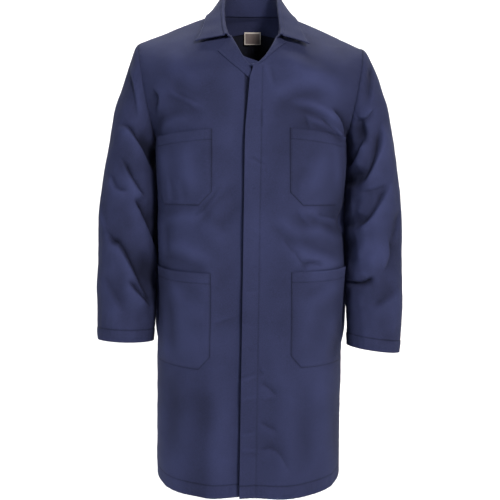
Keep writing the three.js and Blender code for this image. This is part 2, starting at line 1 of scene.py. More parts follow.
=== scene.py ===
import bmesh
import bpy
import numpy as np
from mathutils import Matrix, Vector


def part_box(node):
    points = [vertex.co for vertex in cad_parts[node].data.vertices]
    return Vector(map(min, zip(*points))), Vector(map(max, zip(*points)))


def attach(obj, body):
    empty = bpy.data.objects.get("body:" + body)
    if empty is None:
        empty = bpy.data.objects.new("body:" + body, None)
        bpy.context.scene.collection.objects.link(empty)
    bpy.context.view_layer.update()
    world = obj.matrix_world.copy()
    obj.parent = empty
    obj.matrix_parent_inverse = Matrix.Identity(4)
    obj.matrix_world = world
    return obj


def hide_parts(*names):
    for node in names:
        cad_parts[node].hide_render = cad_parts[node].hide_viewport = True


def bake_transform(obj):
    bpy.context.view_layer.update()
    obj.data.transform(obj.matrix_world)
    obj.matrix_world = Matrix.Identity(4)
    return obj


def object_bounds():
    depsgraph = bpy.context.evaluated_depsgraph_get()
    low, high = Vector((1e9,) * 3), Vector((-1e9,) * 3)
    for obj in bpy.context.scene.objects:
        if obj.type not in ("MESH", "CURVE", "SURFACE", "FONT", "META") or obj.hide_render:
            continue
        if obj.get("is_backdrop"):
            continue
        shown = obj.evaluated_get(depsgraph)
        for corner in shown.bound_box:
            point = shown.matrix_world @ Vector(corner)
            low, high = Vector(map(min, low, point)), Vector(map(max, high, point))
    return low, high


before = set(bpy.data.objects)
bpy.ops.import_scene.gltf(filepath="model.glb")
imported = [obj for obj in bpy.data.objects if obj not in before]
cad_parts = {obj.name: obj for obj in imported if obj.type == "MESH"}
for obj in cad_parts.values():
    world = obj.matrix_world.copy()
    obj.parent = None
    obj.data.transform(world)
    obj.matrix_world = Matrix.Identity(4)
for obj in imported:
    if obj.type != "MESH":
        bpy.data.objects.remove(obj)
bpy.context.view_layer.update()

# the coat's own frame: metres, +Z up, front towards -Y, +X is the wearer's left,
# zero height where the neckline meets the shoulder seam
body = dict(
    length=1.0, hemRise=0.014, neckHalf=0.075, shoulderHalf=0.242, shoulderDrop=0.07,
    armpitDepth=0.27, armpitHalf=0.2084, armholeFront=0.075, armholeBack=0.085,
    breakDepth=0.142, frontAtBreak=0.138, frontAtHem=0.152,
    backNeckDepth=0.07, backNeckRise=0.018, power=0.87, flatAngle=9.0, seam=-0.00008,
    halfWidths=[(-1.0, 0.196), (-0.86, 0.1978), (-0.7, 0.1995), (-0.56, 0.2005), (-0.45, 0.2015),
                (-0.38, 0.2035), (-0.32, 0.2060), (-0.27, 0.2084)],
    backDepths=[(-1.0, 0.136), (-0.72, 0.125), (-0.49, 0.112), (-0.38, 0.117), (-0.27, 0.128)],
    rollPower={"left": 0.45, "right": 0.8},
)
pitZ = -body["armpitDepth"]
breakZ = -body["breakDepth"]
hemZ = -body["length"]


def signOf(side):  # +1 on the wearer's left, -1 on the wearer's right
    return 1 if side == "left" else -1


def mirrorOf(side):  # shapes are made for the left and mirrored for the right
    return np.array([signOf(side), 1, 1])


def mix(a, b, f):  # a where f is 0, b where f is 1
    return a + (b - a) * f


def smooth(f):  # 3f^2 - 2f^3, held at 0 and 1
    f = np.clip(f, 0, 1)
    return f * f * (3 - 2 * f)


def curveThrough(knots, x):  # cubic pieces that pass each knot with the slope of its neighbours
    kx, ky = np.array(knots, float).T
    slope = np.gradient(ky, kx)
    i = np.clip(np.searchsorted(kx, x) - 1, 0, len(kx) - 2)
    h = kx[i + 1] - kx[i]
    t = np.clip((x - kx[i]) / h, 0, 1)
    return ((2 * t**3 - 3 * t**2 + 1) * ky[i] + (t**3 - 2 * t**2 + t) * h * slope[i]
            + (3 * t**2 - 2 * t**3) * ky[i + 1] + (t**3 - t**2) * h * slope[i + 1])


def signedPower(f, p):  # |f|^p with the sign of f
    return np.sign(f) * np.abs(f) ** p


def unit(v):  # vectors of length 1
    return v / np.maximum(np.linalg.norm(v, axis=-1, keepdims=True), 1e-12)


# body surfaces, as in the frame
def torsoHalf(z):  # half width at a height
    return curveThrough(body["halfWidths"], z)


def frontDepth(z):  # how far the front stands off the middle plane, even from hem to break
    return mix(body["frontAtHem"], body["frontAtBreak"], np.clip((z - hemZ) / (breakZ - hemZ), 0, 1))


def backDepth(z):  # the same for the back
    return curveThrough(body["backDepths"], z)


def armholePoint(t, depth):  # ellipse in the tilted armhole plane, t from armpit to shoulder tip
    rise = (1 - np.cos(np.pi * t)) / 2
    return (mix(body["armpitHalf"], body["shoulderHalf"], rise), depth * np.sin(np.pi * t),
            mix(pitZ, -body["shoulderDrop"], rise))


def rollX(side, z):  # neckline: a power curve from the break to the neck point
    return body["neckHalf"] * np.clip((z - breakZ) / -breakZ, 0, 1) ** body["rollPower"][side]


def foldX(z):  # straight stitched line of the front band
    return mix(placket["foldBottomX"], placket["foldTopX"], np.clip((z - hemZ) / (breakZ - hemZ), 0, 1))


def lastAngle(t):  # angle round the torso at the armhole, 90 degrees at the armpit and 50 above
    return np.radians(90 - 40 * smooth(t / 0.35))


def frontShare(angle):  # flat in the middle, then a squared ellipse to the side
    flat = np.radians(body["flatAngle"])
    bent = np.maximum(0, np.abs(angle) - flat) / (1 - body["flatAngle"] / 90)
    return np.abs(np.cos(bent)) ** body["power"]


def rowOfZ(z):  # row from height: even below the armpit, cosine steps above
    z = np.asarray(z, float)
    upper = np.arccos(np.clip(1 - 2 * (z - pitZ) / -pitZ, -1, 1)) / np.pi
    return np.where(z <= pitZ, (z - pitZ) / (pitZ - hemZ), upper)


def zOfRow(row):  # height from row
    return np.where(row <= 0, mix(pitZ, hemZ, -row), mix(pitZ, 0, (1 - np.cos(np.pi * row)) / 2))


def frontPoint(side, row, angle):  # row -1 hem, 0 armpit, 1 shoulder seam; angle 0 middle
    row, angle = np.broadcast_arrays(row, angle)
    c = frontShare(angle)
    s = signedPower(np.sin(angle), body["power"])
    zl = mix(pitZ, hemZ, -row) + body["hemRise"] * np.sin(angle) ** 2 * row * row
    lower = np.stack([torsoHalf(zl) * s, -frontDepth(zl) * c - body["seam"], zl], -1)
    t = np.clip(row, 0, 1)
    last = lastAngle(t)
    across = s / np.sin(last) ** body["power"]
    endC = frontShare(last)
    ox, oy, oz = armholePoint(t, -body["armholeFront"])
    z = mix(pitZ, 0, (1 - np.cos(np.pi * t)) / 2)
    up = np.clip((z - breakZ) / -breakZ, 0, 1)
    upper = np.stack([
        mix(rollX(side, z), ox, across),
        mix(oy, -frontDepth(z) * (1 - up**1.5), (c - endC) / (1 - endC)) - body["seam"],
        mix(z, oz, np.maximum(0, across) ** 1.15)], -1)
    return np.where((row <= 0)[..., None], lower, upper)


def angleOf(x, z):  # angle round the lower front at a distance from the middle
    return np.arcsin(np.clip(np.abs(x) / torsoHalf(z), 0, 1) ** (1 / body["power"])) * np.sign(x)


def startAngle(side, row, startX):  # the same for both parts of the front
    t = np.clip(row, 0, 1)
    z = zOfRow(row)
    ox = armholePoint(t, 0)[0]
    share = (startX - rollX(side, z)) / (ox - rollX(side, z))
    upper = np.arcsin(np.clip(np.abs(share) ** (1 / body["power"]) * np.sin(lastAngle(t)), 0, 1)) * np.sign(share)
    return np.where(row <= 0, angleOf(startX, z), upper)


def backPoint(row, angle):  # as the front; the last rows bend to meet the neckline and shoulder seam
    row, angle = np.broadcast_arrays(row, angle)
    c = np.cos(angle) ** body["power"]
    s = np.sin(angle) ** body["power"]
    zl = mix(pitZ, hemZ, -row) + body["hemRise"] * row * row
    lower = np.stack([torsoHalf(zl) * s, backDepth(zl) * c + body["seam"], zl], -1)
    t = np.clip(row, 0, 1)
    last = lastAngle(t)
    across = np.clip(s / np.sin(last) ** body["power"], 0, 1)
    endC = np.cos(last) ** body["power"]
    ox, oy, oz = armholePoint(t, body["armholeBack"])
    z = mix(pitZ, body["backNeckRise"], (1 - np.cos(np.pi * t)) / 2)
    innerY = mix(body["backNeckDepth"], 0.128, np.cos(np.pi * t / 2))
    x = ox * across
    y = mix(oy, innerY, (c - endC) / (1 - endC)) + body["seam"]
    h = mix(z, oz, across**1.15)
    top = lastAngle(1.0)
    angleTop = np.arcsin(np.clip(across ** (1 / body["power"]) * np.sin(top), 0, 1))
    cTop = (np.cos(angleTop) ** body["power"] - np.cos(top) ** body["power"]) / (1 - np.cos(top) ** body["power"])
    oval = np.sqrt(np.clip(1 - (x / body["neckHalf"]) ** 2, 0, 1))
    share = np.clip((x - body["neckHalf"]) / (body["shoulderHalf"] - body["neckHalf"]), 0, 1)
    lineY = np.where(x < body["neckHalf"], body["backNeckDepth"] * oval, 0) + body["seam"]
    lineZ = np.where(x < body["neckHalf"], body["backNeckRise"] * oval, -body["shoulderDrop"] * share**1.15)
    y = y + (lineY - body["backNeckDepth"] * cTop - body["seam"]) * t**6
    h = h + (lineZ - mix(body["backNeckRise"], -body["shoulderDrop"], across**1.15)) * t**6
    upper = np.stack([x, y, h], -1)
    return np.where((row <= 0)[..., None], lower, upper)


def locate(side, x, z):  # Newton steps for the row and angle of a place on the upper front
    row = np.clip(rowOfZ(z), 0.02, 0.99)
    angle = np.full_like(row, 0.2)
    e = 1e-4
    for _ in range(30):
        p = frontPoint(side, row, angle)
        pr = (frontPoint(side, row + e, angle) - p) / e
        pa = (frontPoint(side, row, angle + e) - p) / e
        det = pr[..., 0] * pa[..., 2] - pa[..., 0] * pr[..., 2]
        dx, dz = x - p[..., 0], z - p[..., 2]
        row = np.clip(row + (dx * pa[..., 2] - pa[..., 0] * dz) / det, 0.02, 0.995)
        angle = np.clip(angle + (pr[..., 0] * dz - dx * pr[..., 2]) / det, 0.002, lastAngle(row))
    return row, angle


# folds in the cloth
def crease(x, z, a, b, width, height, bend=0.0, side=0):
    # ridge exp(-(s/width)^2) along a bent line, with a hollow on one side, faded at both ends
    d = np.array(b, float) - np.array(a, float)
    length = np.hypot(*d)
    d = d / length
    t = ((x - a[0]) * d[0] + (z - a[1]) * d[1]) / length
    s = (x - a[0]) * -d[1] + (z - a[1]) * d[0] - bend * 4 * t * (1 - t)
    ends = smooth((t + 0.15) / 0.45) * smooth((1.15 - t) / 0.45)
    ridge = np.exp(-((s / width) ** 2))
    hollow = np.exp(-np.sqrt(((s - side * 1.5 * width) / (0.85 * width)) ** 2 + 0.04)) if side else 0
    return height * ends * (ridge - 0.8 * hollow)


def pinch(x, z, line, width, depth, side=0, crest=0.6):
    # a curved line with a steep wall: a round crest on one side of it and a valley exp(-q/width)
    # on the other; with no side given, a plain valley between two low crests
    line = np.array(line, float)
    knots = np.linspace(0, 1, len(line))
    t = np.linspace(0, 1, 17)
    path = np.stack([curveThrough(list(zip(knots, line[:, k])), t) for k in (0, 1)], -1)
    near, s, at = np.full(x.shape, 9.0), np.zeros(x.shape), np.zeros(x.shape)
    for k in range(16):
        d = path[k + 1] - path[k]
        dx, dz = x - path[k, 0], z - path[k, 1]
        f = np.clip((dx * d[0] + dz * d[1]) / (d @ d), 0, 1)
        far = np.hypot(dx - f * d[0], dz - f * d[1])
        closer = far < near
        near = np.where(closer, far, near)
        s = np.where(closer, np.sign(d[0] * dz - d[1] * dx) * far, s)
        at = np.where(closer, (k + f) / 16, at)
    ends = smooth(at / 0.3) * smooth((1 - at) / 0.3)
    if side == 0:
        crests = sum(np.exp(-(((s - c) / (1.7 * width)) ** 2)) for c in (2.3 * width, -2.3 * width))
        return depth * ends * (0.6 * crest * crests - np.exp(-np.sqrt((s / width) ** 2 + 0.03)))
    q = side * s / width
    top = crest * np.exp(-((np.maximum(q - 0.5, 0) / 2.6) ** 2))
    bottom = -np.exp(-np.maximum(-0.5 - q, 0) / 1.6)
    return depth * ends * mix(bottom, top, smooth(q + 0.5))


def hollowAt(x, z, centre, size, tilt, depth):  # oval dent with steep sides, exp(-q^1.5)
    c, n = np.cos(np.radians(tilt)), np.sin(np.radians(tilt))
    dx, dz = x - centre[0], z - centre[1]
    q = ((dx * c + dz * n) / size[0]) ** 2 + ((dz * c - dx * n) / size[1]) ** 2
    return -depth * np.exp(-(q**1.5))


def ripples(x, z, wave, amount, seed, stretch=1.0):  # sum of seeded sine waves in all directions
    rng = np.random.default_rng(seed)
    total = np.zeros_like(x)
    for _ in range(9):
        turn = rng.uniform(0, np.pi)
        k = 2 * np.pi / (wave * rng.uniform(0.7, 1.5))
        total += np.sin(k * (np.cos(turn) * x + np.sin(turn) * z / stretch) + rng.uniform(0, 6.28))
    return amount * total / 3


def crumple(x, z, wave, amount, seed):  # sharp-crested waves, 1-|sin|, with a bent grid
    rng = np.random.default_rng(seed)
    total = np.zeros_like(x)
    for _ in range(6):
        turn = rng.uniform(0, np.pi)
        k = np.pi / (wave * rng.uniform(0.7, 1.6))
        bent = 0.9 * np.sin(2 * np.pi * (x * np.sin(turn) - z * np.cos(turn)) / (wave * 2.3) + rng.uniform(0, 6.28))
        line = np.sin(k * (np.cos(turn) * x + np.sin(turn) * z) + bent + rng.uniform(0, 6.28))
        total += (1 - np.sqrt(line**2 + 0.004)) ** 2 - 0.27
    return amount * total / 2


foldSize = dict(front=1.3, back=1.3, sleeve=1.15)
frontFolds = [  # from, to, width, height, bend, side of the hollow; x is to the wearer's left
    ((0.085, -0.212), (0.200, -0.262), 0.010, 0.0042, 0.010, -1),
    ((0.112, -0.245), (0.203, -0.283), 0.007, 0.0030, 0.004, -1),
    ((0.040, -0.205), (0.150, -0.170), 0.018, 0.0030, 0.012, -1),
    ((0.060, -0.120), (0.185, -0.190), 0.020, 0.0022, 0.0, 1),
    ((0.028, -0.135), (0.040, -0.185), 0.006, 0.0016, 0.0, 1),
    ((-0.172, -0.184), (-0.096, -0.226), 0.010, 0.0026, 0.004, -1),
    ((-0.200, -0.262), (-0.120, -0.245), 0.010, 0.0020, 0.004, 1),
    ((-0.175, -0.110), (-0.110, -0.190), 0.020, 0.0018, 0.0, -1),
    ((-0.050, -0.372), (-0.125, -0.462), 0.012, 0.0026, -0.006, 1),
    ((-0.036, -0.400), (-0.080, -0.450), 0.016, 0.0016, 0.0, 1),
    ((0.052, -0.447), (0.106, -0.492), 0.012, 0.0022, 0.0, -1),
    ((-0.190, -0.440), (-0.186, -0.540), 0.010, 0.0022, 0.0, 1),
    ((0.070, -0.500), (0.185, -0.545), 0.016, 0.0032, -0.006, 1),
    ((0.095, -0.470), (0.190, -0.492), 0.012, 0.0026, 0.004, 1),
    ((0.110, -0.430), (0.190, -0.452), 0.010, 0.0022, 0.0, -1),
    ((-0.185, -0.500), (-0.080, -0.535), 0.016, 0.0028, 0.006, -1),
    ((-0.190, -0.455), (-0.110, -0.440), 0.012, 0.0020, 0.0, 1),
    ((-0.120, -0.440), (-0.050, -0.500), 0.016, 0.0018, 0.0, 1),
    ((0.150, -0.760), (0.170, -0.960), 0.018, 0.0014, 0.004, 1),
    ((0.075, -0.780), (0.085, -0.985), 0.024, 0.0014, 0.0, -1),
    ((-0.120, -0.770), (-0.135, -0.985), 0.024, 0.0009, 0.0, 1),
    ((-0.060, -0.780), (-0.062, -0.985), 0.022, 0.0006, 0.0, -1),
    ((-0.180, -0.770), (-0.186, -0.930), 0.014, 0.0014, 0.0, 1),
]
frontPinches = [  # line, width, depth, side of the crest
    ([(0.160, -0.222), (0.186, -0.246), (0.203, -0.280)], 0.0055, 0.0060, -1),
    ([(0.140, -0.240), (0.170, -0.262), (0.198, -0.290)], 0.0050, 0.0034, 1),
    ([(0.108, -0.236), (0.114, -0.252), (0.124, -0.272)], 0.0045, 0.0018, 1),
    ([(0.021, -0.226), (0.0235, -0.245), (0.0225, -0.270)], 0.0030, 0.0014, 1),
    ([(-0.172, -0.184), (-0.135, -0.205), (-0.094, -0.224)], 0.0075, 0.0026, -1),
    ([(-0.205, -0.180), (-0.190, -0.198), (-0.198, -0.232)], 0.0060, 0.0040, 1),
    ([(-0.052, -0.376), (-0.085, -0.420), (-0.122, -0.456)], 0.0070, 0.0026, 1),
    ([(0.060, -0.486), (0.074, -0.506), (0.090, -0.528)], 0.0060, 0.0018, -1),
    ([(0.082, -0.510), (0.094, -0.530), (0.108, -0.549)], 0.0050, 0.0026, -1),
    ([(0.088, -0.428), (0.105, -0.450), (0.124, -0.468)], 0.0080, 0.0022, 1),
    ([(0.125, -0.440), (0.160, -0.446), (0.200, -0.447)], 0.0080, 0.0040, -1),
    ([(0.104, -0.545), (0.122, -0.540), (0.146, -0.546)], 0.0060, 0.0034, -1),
    ([(0.003, -0.322), (0.013, -0.330), (0.026, -0.340)], 0.0028, 0.0012, 1),
    ([(0.0172, -0.748), (0.0215, -0.752), (0.0280, -0.758)], 0.0026, 0.0018, 1),
    ([(0.0172, -0.775), (0.034, -0.786), (0.054, -0.804)], 0.0040, 0.0026, -1),
    ([(0.018, -0.806), (0.030, -0.808), (0.046, -0.802)], 0.0034, 0.0014, 1),
    ([(0.0140, -0.852), (0.032, -0.862), (0.056, -0.874)], 0.0042, 0.0024, -1),
    ([(0.0100, -0.909), (0.050, -0.908), (0.084, -0.956)], 0.0050, 0.0024, -1),
    ([(-0.080, -0.661), (-0.055, -0.653), (-0.026, -0.643)], 0.0045, 0.0016, 1),
    ([(-0.150, -0.758), (-0.152, -0.860), (-0.165, -0.975)], 0.0130, 0.0009, 0),
    ([(0.165, -0.750), (0.170, -0.860), (0.180, -0.965)], 0.0120, 0.0016, 0),
    ([(0.120, -0.752), (0.112, -0.850), (0.118, -0.960)], 0.0140, 0.0012, 0),
    ([(-0.095, -0.760), (-0.088, -0.860), (-0.096, -0.985)], 0.0150, 0.0005, 0),
]
frontHollows = [  # centre, half sizes, tilt, depth
    ((0.192, -0.258), (0.012, 0.030), 35, 0.0045),
    ((-0.196, -0.262), (0.010, 0.022), -25, 0.0030),
    ((0.124, -0.541), (0.026, 0.009), 8, 0.0028),
]
puckers = [  # small creases across the band
    ((-0.023, -0.772), (0.012, -0.759), 0.0034, 0.0022, 0.0, 1),
    ((-0.019, -0.808), (0.010, -0.803), 0.0035, 0.0014, 0.0, -1),
    ((-0.020, -0.878), (0.010, -0.876), 0.0035, 0.0019, 0.0, 1),
    ((-0.020, -0.906), (0.010, -0.909), 0.0035, 0.0021, 0.0, -1),
    ((-0.020, -0.660), (0.010, -0.664), 0.0035, 0.0010, 0.0, 1),
    ((-0.014, -0.600), (0.016, -0.594), 0.0035, 0.0009, 0.0, 1),
    ((-0.004, -0.330), (0.024, -0.345), 0.0035, 0.0014, 0.0, 1),
    ((0.000, -0.470), (0.022, -0.476), 0.0035, 0.0008, 0.0, -1),
]


def frontRelief(x, z):  # how far the front cloth stands off its plain surface
    total = ripples(x, z, 0.16, 0.0014, 3, 1.6) + ripples(x, z, 0.055, 0.0005, 4, 1.4) + crumple(x, z, 0.05, 0.0005, 5)
    for a, b, width, height, bend, side in frontFolds:
        total += foldSize["front"] * crease(x, z, a, b, width, height, bend, side)
    skirt = smooth((-0.62 - z) / 0.38)
    total += skirt * 0.0012 * np.sin(2 * np.pi * x / 0.105 + 0.6 + 2 * z)
    away = smooth(np.abs(x) / 0.05)  # the closure itself hangs flat
    total *= mix(0.35, 1, away)
    for line, width, depth, side in frontPinches:
        total += pinch(x, z, line, width, depth, side)
    for centre, size, tilt, depth in frontHollows:
        total += hollowAt(x, z, centre, size, tilt, depth)
    total *= smooth((-0.02 - z) / 0.06)
    for a, b, width, height, bend, side in puckers:
        total += crease(x, z, a, b, width, height, bend, side)
    return total


# meshes from rows of points
def gridNormals(grid, closed=False):  # cross product of the steps to the neighbours
    du = np.gradient(grid, axis=0)
    if closed:
        dv = (np.roll(grid, -1, 1) - np.roll(grid, 1, 1)) / 2
    else:
        dv = np.gradient(grid, axis=1)
    return unit(np.cross(du, dv))


def axisLine(grid):  # points of the upright axis at the heights of a grid
    return grid * [0, 0, 1]


def outward(grid, normals, centre):  # turns normals to point away from a centre line
    return -normals if np.sum(normals * (grid - centre)) < 0 else normals


def hang(points):  # the coat hangs a little unevenly: one shoulder low, the skirt swayed to the right
    x, y, z = points[..., 0], points[..., 1], points[..., 2]
    away = smooth(np.abs(x) / 0.12)
    dx = -0.004 * smooth((-0.62 - z) / 0.2) * away
    dz = -0.006 * x / 0.24 * smooth((z + 0.26) / 0.2) * away
    front = smooth(-y / 0.04) * smooth((-0.86 - z) / 0.14)
    dz = dz - front * (0.003 + 0.005 * smooth(np.abs(x) / 0.09) * (1 - smooth((np.abs(x) - 0.165) / 0.03)))
    return points + np.stack([dx, 0 * x, dz], -1)


def lengthAlong(path):  # distance from the start of a path to each of its points
    return np.concatenate([[0], np.cumsum(np.linalg.norm(np.diff(path, axis=0), axis=1))])


def smoothObject(mesh):  # linked to the scene, with smooth shading
    mesh.polygons.foreach_set("use_smooth", np.ones(len(mesh.polygons), bool))
    mesh.update()
    piece = bpy.data.objects.new(mesh.name, mesh)
    bpy.context.collection.objects.link(piece)
    return piece


def gridMesh(name, grid, closed=False, flip=False, paintedShade=None, hung=True):
    # four-sided faces between neighbouring grid points, with a UV map in metres along the cloth
    grid = hang(grid) if hung else grid
    rows, cols = grid.shape[:2]
    index = np.arange(rows * cols).reshape(rows, cols)
    wide = np.hstack([index, index[:, :1]]) if closed else index
    full = np.concatenate([grid, grid[:, :1]], 1) if closed else grid
    faces = np.stack([wide[:-1, :-1], wide[:-1, 1:], wide[1:, 1:], wide[1:, :-1]], -1).reshape(-1, 4)
    uv = np.stack(np.meshgrid(lengthAlong(full[rows // 2]), lengthAlong(full[:, full.shape[1] // 2])), -1)
    corners = np.stack([uv[:-1, :-1], uv[:-1, 1:], uv[1:, 1:], uv[1:, :-1]], -2).reshape(-1, 4, 2)
    if flip:
        faces, corners = faces[:, ::-1], corners[:, ::-1]
    mesh = bpy.data.meshes.new(name)
    mesh.from_pydata(grid.reshape(-1, 3), [], faces)
    mesh.uv_layers.new(name="cloth").data.foreach_set("uv", corners.reshape(-1).astype(np.float32))
    ridge = mesh.attributes.new("ridge", "FLOAT", "POINT")  # painted shade of the cloth: darker in fold hollows, seams and overlaps; lighter on crests, partly rubbed wear and partly painted highlight
    ridge.data.foreach_set("value", (np.zeros(rows * cols) if paintedShade is None else paintedShade.reshape(-1)).astype(np.float32))
    return smoothObject(mesh)


def thicken(piece, thickness, offset=-1.0, bevel=0.0004):  # cloth thickness with softened edges
    solid = piece.modifiers.new("thickness", "SOLIDIFY")
    solid.thickness = thickness
    solid.offset = offset
    solid.use_quality_normals = True
    edge = piece.modifiers.new("edge", "BEVEL")
    edge.width = bevel
    edge.segments = 2
    edge.limit_method = "ANGLE"
    edge.angle_limit = np.radians(55)
    return piece


def sheetPiece(name, grid, thickness, material, paintedShade=None, shadedInside=None):  # panel that faces away from the axis
    flip = np.sum(gridNormals(grid) * (grid - axisLine(grid))) < 0
    piece = gridMesh(name, grid, False, flip, paintedShade)
    piece.data.materials.append(shadedInside or material)
    thicken(piece, thickness)
    if shadedInside:  # the outer faces and the edges keep the cloth's own material; the inner faces take its darker copy, painted shade
        piece.data.materials.append(material)
        piece.modifiers["thickness"].material_offset = 1
        piece.modifiers["thickness"].material_offset_rim = 1
    return piece


def denser(start, stop, step, lines=(), near=0.004, fine=0.0008):
    # even steps from start to stop, with fine ones round each stitched line
    base = np.linspace(start, stop, max(2, int(round(abs(stop - start) / step)) + 1))
    extra = [np.arange(l - near, l + near, fine) for l in lines]
    every = np.unique(np.round(np.concatenate([base, *extra]), 6))
    low, high = min(start, stop), max(start, stop)
    every = every[(every >= low) & (every <= high)]
    keep = np.concatenate([[True], np.diff(every) > fine * 0.5])
    every = every[keep]
    every[0], every[-1] = low, high
    return every


# topstitching, one spindle of thread for each stitch
stitching = dict(pitch=0.0034, length=0.0026, radius=0.00030, sink=0.00012)


def resample(path, normals, pitch):  # even steps along a path, with its directions and normals
    far = lengthAlong(path)
    count = max(2, int(far[-1] / pitch))
    at = (np.arange(count) + 0.5) * far[-1] / count
    place, up = [np.stack([np.interp(at, far, a[:, k]) for k in range(3)], -1) for a in (path, normals)]
    return place, unit(np.gradient(place, axis=0)), unit(up)


def stitchLine(paths, name, material, bodyName):
    # every stitch is a small spindle: two pointed ends and two rings of four corners
    threads = [resample(path, normals, stitching["pitch"]) for path, normals in paths]
    places, tangents, ups = [np.concatenate(part) for part in zip(*threads)]
    sides = unit(np.cross(tangents, ups))
    ups = unit(np.cross(sides, tangents))
    half, r = stitching["length"] / 2, stitching["radius"]
    shape = [(-half, 0, -r * 0.6)]
    for t in (-0.55, 0.55):
        shape += [(t * half, r * np.cos(q), r * np.sin(q)) for q in np.radians([45, 135, 225, 315])]
    shape.append((half, 0, -r * 0.6))
    shape = np.array(shape)
    base = places[:, None] + shape[None, :, 0:1] * tangents[:, None] + shape[None, :, 1:2] * sides[:, None]
    points = hang(base + (shape[None, :, 2:3] + r * 0.5 - stitching["sink"]) * ups[:, None])
    first = len(shape) * np.arange(len(places))[:, None]
    faces = []
    for k in range(4):
        n = (k + 1) % 4
        for corners in ((0, 1 + n, 1 + k), (1 + k, 1 + n, 5 + n, 5 + k), (9, 5 + k, 5 + n)):
            faces += (np.array(corners)[None] + first).tolist()
    mesh = bpy.data.meshes.new(name)
    mesh.from_pydata(points.reshape(-1, 3), [], faces)
    mesh.materials.append(material)
    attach(smoothObject(mesh), bodyName)


# cloth, thread and metal
def linearColor(hexCode):  # sRGB hex to linear
    c = np.array([int(hexCode[i:i + 2], 16) for i in (1, 3, 5)]) / 255
    c = np.where(c <= 0.04045, c / 12.92, ((c + 0.055) / 1.055) ** 2.4)
    return (*c, 1.0)


def addNode(tree, kind, inputs=None, **settings):
    # inputs maps a socket name or number to a value, or to (node, output) to link it
    node = tree.nodes.new(kind)
    for key, value in settings.items():
        setattr(node, key, value)
    for key, value in (inputs or {}).items():
        if isinstance(value, tuple) and isinstance(value[0], bpy.types.Node):
            tree.links.new(value[0].outputs[value[1]], node.inputs[key])
        else:
            node.inputs[key].default_value = value
    return node


def newMaterial(name):  # an empty node tree
    material = bpy.data.materials.new(name)
    material.use_nodes = True
    tree = material.node_tree
    tree.nodes.clear()
    return material, tree


def workTwill(name, light, dark, sheen):
    # cotton-rich work twill, woven and piece-dyed: matt, with fine slanting ribs and a slight bloom;
    # real ribs are 0.6 mm apart, drawn at 1.3 mm so that they show
    material, tree = newMaterial(name)
    uv = addNode(tree, "ShaderNodeUVMap", uv_map="cloth")
    place = addNode(tree, "ShaderNodeTexCoord")
    ribPitch = 0.0013
    ribs = addNode(tree, "ShaderNodeTexWave", {
        "Vector": (uv, 0), "Scale": 2 * np.pi / (10 * ribPitch), "Distortion": 0.8, "Detail": 1.0,
        "Detail Scale": 1.5}, bands_direction="DIAGONAL")
    yarn = addNode(tree, "ShaderNodeTexNoise", {"Vector": (place, 3), "Scale": 700.0, "Detail": 3.0, "Roughness": 0.65})
    dye = addNode(tree, "ShaderNodeTexNoise", {"Vector": (place, 3), "Scale": 9.0, "Detail": 3.0, "Roughness": 0.5})
    # the ridge attribute adds painted shade to the colour: darker in fold hollows, seams and overlaps, lighter on
    # crests
    paintedShadeAttribute = addNode(tree, "ShaderNodeAttribute", attribute_name="ridge")
    grain = addNode(tree, "ShaderNodeMix", {"Factor": 0.2, "A": (yarn, 0), "B": (ribs, 1)}, data_type="FLOAT")
    dyeAndGrain = addNode(tree, "ShaderNodeMath", {0: (dye, 0), 1: 0.35, 2: (grain, 0)}, operation="MULTIPLY_ADD")
    dyeGrainAndPaintedShade = addNode(tree, "ShaderNodeMath", {0: (paintedShadeAttribute, 2), 1: 0.4, 2: (dyeAndGrain, 0)}, operation="MULTIPLY_ADD")
    colour = addNode(tree, "ShaderNodeMapRange", {"Value": (dyeGrainAndPaintedShade, 0), "From Min": 0.15, "From Max": 1.15})
    ramp = addNode(tree, "ShaderNodeMix", {0: (colour, 0), 6: linearColor(dark), 7: linearColor(light)},
                   data_type="RGBA")
    relief = addNode(tree, "ShaderNodeMath", {0: (ribs, 1), 1: 0.6, 2: (yarn, 0)}, operation="MULTIPLY_ADD")
    bump = addNode(tree, "ShaderNodeBump", {"Strength": 0.35, "Distance": 0.0004, "Height": (relief, 0)})
    rough = addNode(tree, "ShaderNodeMapRange", {"Value": (yarn, 0), "To Min": 0.82, "To Max": 0.95})
    twill = addNode(tree, "ShaderNodeBsdfPrincipled", {
        "Base Color": (ramp, 2), "Roughness": (rough, 0), "Normal": (bump, 0), "Specular IOR Level": 0.15,
        "Sheen Weight": sheen, "Sheen Roughness": 0.45, "Sheen Tint": linearColor("#8890b4")})
    addNode(tree, "ShaderNodeOutputMaterial", {"Surface": (twill, 0)})
    return material


def spunThread(name, hexCode):
    # polyester core-spun sewing thread: two twisted plies, slightly shinier than the cloth
    material, tree = newMaterial(name)
    place = addNode(tree, "ShaderNodeTexCoord")
    ply = addNode(tree, "ShaderNodeTexNoise", {"Vector": (place, 3), "Scale": 2500.0, "Detail": 1.0})
    tone = addNode(tree, "ShaderNodeMix", {0: (ply, 0), 6: linearColor(hexCode), 7: linearColor("#3a405f")},
                   data_type="RGBA")
    thread = addNode(tree, "ShaderNodeBsdfPrincipled", {"Base Color": (tone, 2), "Roughness": 0.6, "Sheen Weight": 0.2})
    addNode(tree, "ShaderNodeOutputMaterial", {"Surface": (thread, 0)})
    return material


